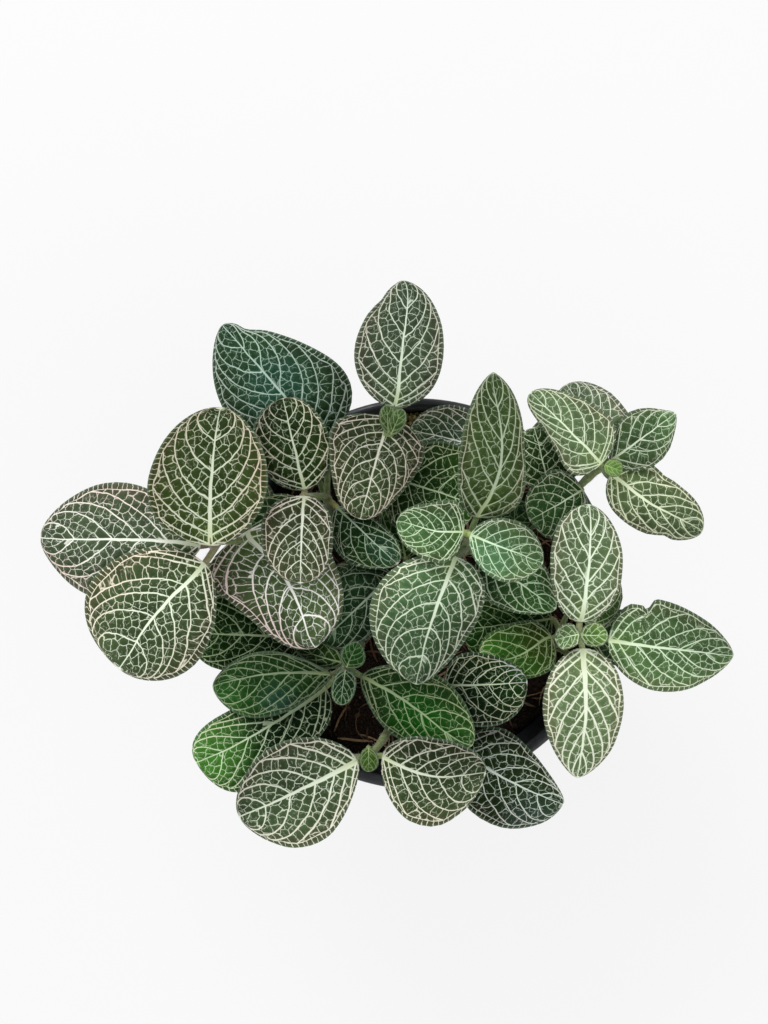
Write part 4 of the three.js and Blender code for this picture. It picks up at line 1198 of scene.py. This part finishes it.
def make_soil(material):
    inside, collar = WALL + SOIL_GAP, POT_HEIGHT - COLLAR_DEPTH
    edge = pot_radius(SOIL_TOP - 2) - inside
    side = [
        (0, POT_FLOOR + SOIL_GAP), (BASE_RADIUS - inside - 0.3, POT_FLOOR + SOIL_GAP),
        (pot_radius(collar - 3) - inside, collar - 3),
        (pot_radius(collar + 1) - inside - 0.2, collar + 1), (edge, SOIL_TOP - 2.5),
    ]
    top = [(edge * (1 - ring / SOIL_RINGS), 0) for ring in range(1, SOIL_RINGS)] + [(0, 0)]
    points, faces = turned(side + top, SOIL_SIDES)
    for i in range(1 + 4 * SOIL_SIDES, len(points)):
        x, y, _ = points[i]
        points[i] = (x, y, soil_height(x, y))
    make_piece("soil_mix", points, faces, material, "soil", "soil")


def on_soil(rng, reach):
    """A random place on the soil, in mm."""
    radius, angle = reach * math.sqrt(rng.random()), rng.uniform(0, 2 * math.pi)
    x, y = radius * math.cos(angle), radius * math.sin(angle)
    return np.array([x, y, soil_height(x, y)])


def lay_fibre(heap, rng):
    """A curved fibre that follows the soil, unless it would be too short."""
    at = on_soil(rng, FIBRE_REACH)
    heading, bend = rng.uniform(0, 2 * math.pi), rng.uniform(-0.35, 0.35)
    line = []
    for i in range(FIBRE_POINTS):
        height = soil_height(at[0], at[1])
        rise = 0.9 * math.sin(math.pi * i / (FIBRE_POINTS - 1)) * rng.random()
        line.append([at[0], at[1], height + 0.25 + rise])
        heading += bend + rng.uniform(-0.2, 0.2)
        at = at + rng.uniform(*FIBRE_STEP) * np.array([math.cos(heading), math.sin(heading), 0])
        if math.hypot(at[0], at[1]) > FIBRE_LIMIT:
            break
    if len(line) < 4:
        return
    thick = rng.uniform(*FIBRE_RADIUS)
    shade = linear(rng.choice(FIBRE_COLOURS)) * rng.uniform(0.6, 1.1)
    radii = [thick * (0.5 if i in (0, len(line) - 1) else 1) for i in range(len(line))]
    heap.tube(line, radii, LITTER_SIDES, [shade] * len(line))


def lay_crumb(heap, rng):
    """An angular crumb: two rings of uneven corners between two ends."""
    at, size, turn = on_soil(rng, CRUMB_REACH), rng.uniform(*CRUMB_SIZE), rng.uniform(0, math.pi)
    shade = linear(rng.choice(CRUMB_COLOURS)) * rng.uniform(0.6, 1.2)
    start = len(heap.points)
    long, wide = rng.uniform(0.9, 1.7), rng.uniform(0.5, 0.9)
    heap.points.append(at + np.array([0, 0, -0.4 * size]))
    for height in (-0.15, 0.35):
        for c, s in circle(CRUMB_SIDES):
            reach = size * rng.uniform(0.7, 1.1) * 0.6
            u, v = reach * long * c, reach * wide * s
            x = u * math.cos(turn) - v * math.sin(turn)
            y = u * math.sin(turn) + v * math.cos(turn)
            heap.points.append(at + np.array([x, y, size * height * rng.uniform(0.7, 1.2)]))
    heap.points.append(at + np.array([0, 0, 0.5 * size * rng.uniform(0.8, 1.1)]))
    heap.colours += [shade] * (2 * CRUMB_SIDES + 2)
    a, b, end = start + 1, start + 1 + CRUMB_SIDES, start + 1 + 2 * CRUMB_SIDES
    for i in range(CRUMB_SIDES):
        j = (i + 1) % CRUMB_SIDES
        heap.faces += [(start, a + j, a + i), (a + i, a + j, b + j, b + i), (b + i, b + j, end)]


def make_litter(material):
    """Coir fibres and crumbs of bark that lie on the soil."""
    rng = random.Random("litter")
    heap = Heap()
    for _ in range(FIBRE_COUNT):
        lay_fibre(heap, rng)
    for _ in range(CRUMB_COUNT):
        lay_crumb(heap, rng)
    heap.piece("soil_litter", material, "soil", "soil")


def make_moss(material):
    """A tuft of moss on the soil by the rim."""
    rng = random.Random("moss")
    heap = Heap()
    for _ in range(MOSS_COUNT):
        angle, radius = rng.uniform(0, 2 * math.pi), MOSS_RADIUS * math.sqrt(rng.random())
        x = MOSS_PLACE[0] + MOSS_STRETCH[0] * radius * math.cos(angle)
        y = MOSS_PLACE[1] + MOSS_STRETCH[1] * radius * math.sin(angle)
        if math.hypot(x, y) > MOSS_LIMIT:
            continue
        low = soil_height(x, y) - 1
        high = low + MOSS_HEIGHT * (1 - (radius / MOSS_RADIUS) ** 2) + rng.uniform(1, 3)
        lean = np.array([*(rng.uniform(-MOSS_LEAN, MOSS_LEAN) for _ in range(2)), 0])
        foot, head = np.array([x, y, low]), np.array([x, y, high]) + lean
        # Painted light: the moss is coloured far lighter than moss, against the shade by the rim.
        shade = linear(rng.choice(MOSS_COLOURS_WITH_PAINTED_LIGHT)) * rng.uniform(0.7, 1.2)
        heap.tube([foot, (foot + head) / 2 + lean * 0.2, head], MOSS_RADII, LITTER_SIDES, [shade] * 3)
    heap.piece("moss", material, "soil", "soil")


# ---- The object ----

make_pot(pot_material())
make_soil(soil_material())
litter_look = litter_material()
make_litter(litter_look)
make_moss(litter_look)
stem_look, leaf_look = stem_material(), leaf_material()
number = 0
for stem_name, (path, *rows) in STEMS.items():
    leaves = [Leaf(row) for row in rows]
    make_stem(stem_name, path, leaves, stem_look)
    for leaf in leaves:
        make_leaf(leaf, stem_name, number, leaf_look)
        number += 1

# ---- Floor, light and camera ----

floor_mesh = bpy.data.meshes.new("floor")
corners = [(x * STAGE_HALF, y * STAGE_HALF, 0) for x, y in ((-1, -1), (1, -1), (1, 1), (-1, 1))]
floor_mesh.from_pydata(corners, [], [(0, 1, 2, 3)])
floor_surface = Surface("floor", roughness=0.9, specular=0.1)
floor_surface.set("Base Color", (STAGE_GREY, STAGE_GREY, STAGE_GREY, 1))
floor_surface.set("Emission Color", (1, 1, 1, 1))
floor_surface.set("Emission Strength", STAGE_GLOW)
floor_mesh.materials.append(floor_surface.material)
floor = new_object("floor", floor_mesh)

world = bpy.data.worlds.new("studio")
world.use_nodes = True
background = world.node_tree.nodes["Background"]
background.inputs["Color"].default_value = (1, 1, 1, 1)
background.inputs["Strength"].default_value = SKY_STRENGTH
bpy.context.scene.world = world

for name, place, size, power in LAMPS:
    lamp = bpy.data.lights.new(name, "AREA")
    lamp.shape, lamp.size, lamp.energy = "DISK", size, power
    holder = new_object(name, lamp)
    holder.location = place
    holder.rotation_mode = "QUATERNION"
    direction = Vector(PLANT_MIDDLE) - Vector(place)
    holder.rotation_quaternion = direction.to_track_quat("-Z", "Y")

camera_data = bpy.data.cameras.new("camera")
camera_data.lens, camera_data.sensor_width = LENS_MM, SENSOR_MM
camera_data.clip_start, camera_data.clip_end = CLIP_RANGE
camera = new_object("camera", camera_data)
camera.location = [value * MM for value in CAMERA_PLACE_MM]
bpy.context.scene.camera = camera
bpy.context.scene.view_settings.view_transform = "Standard"
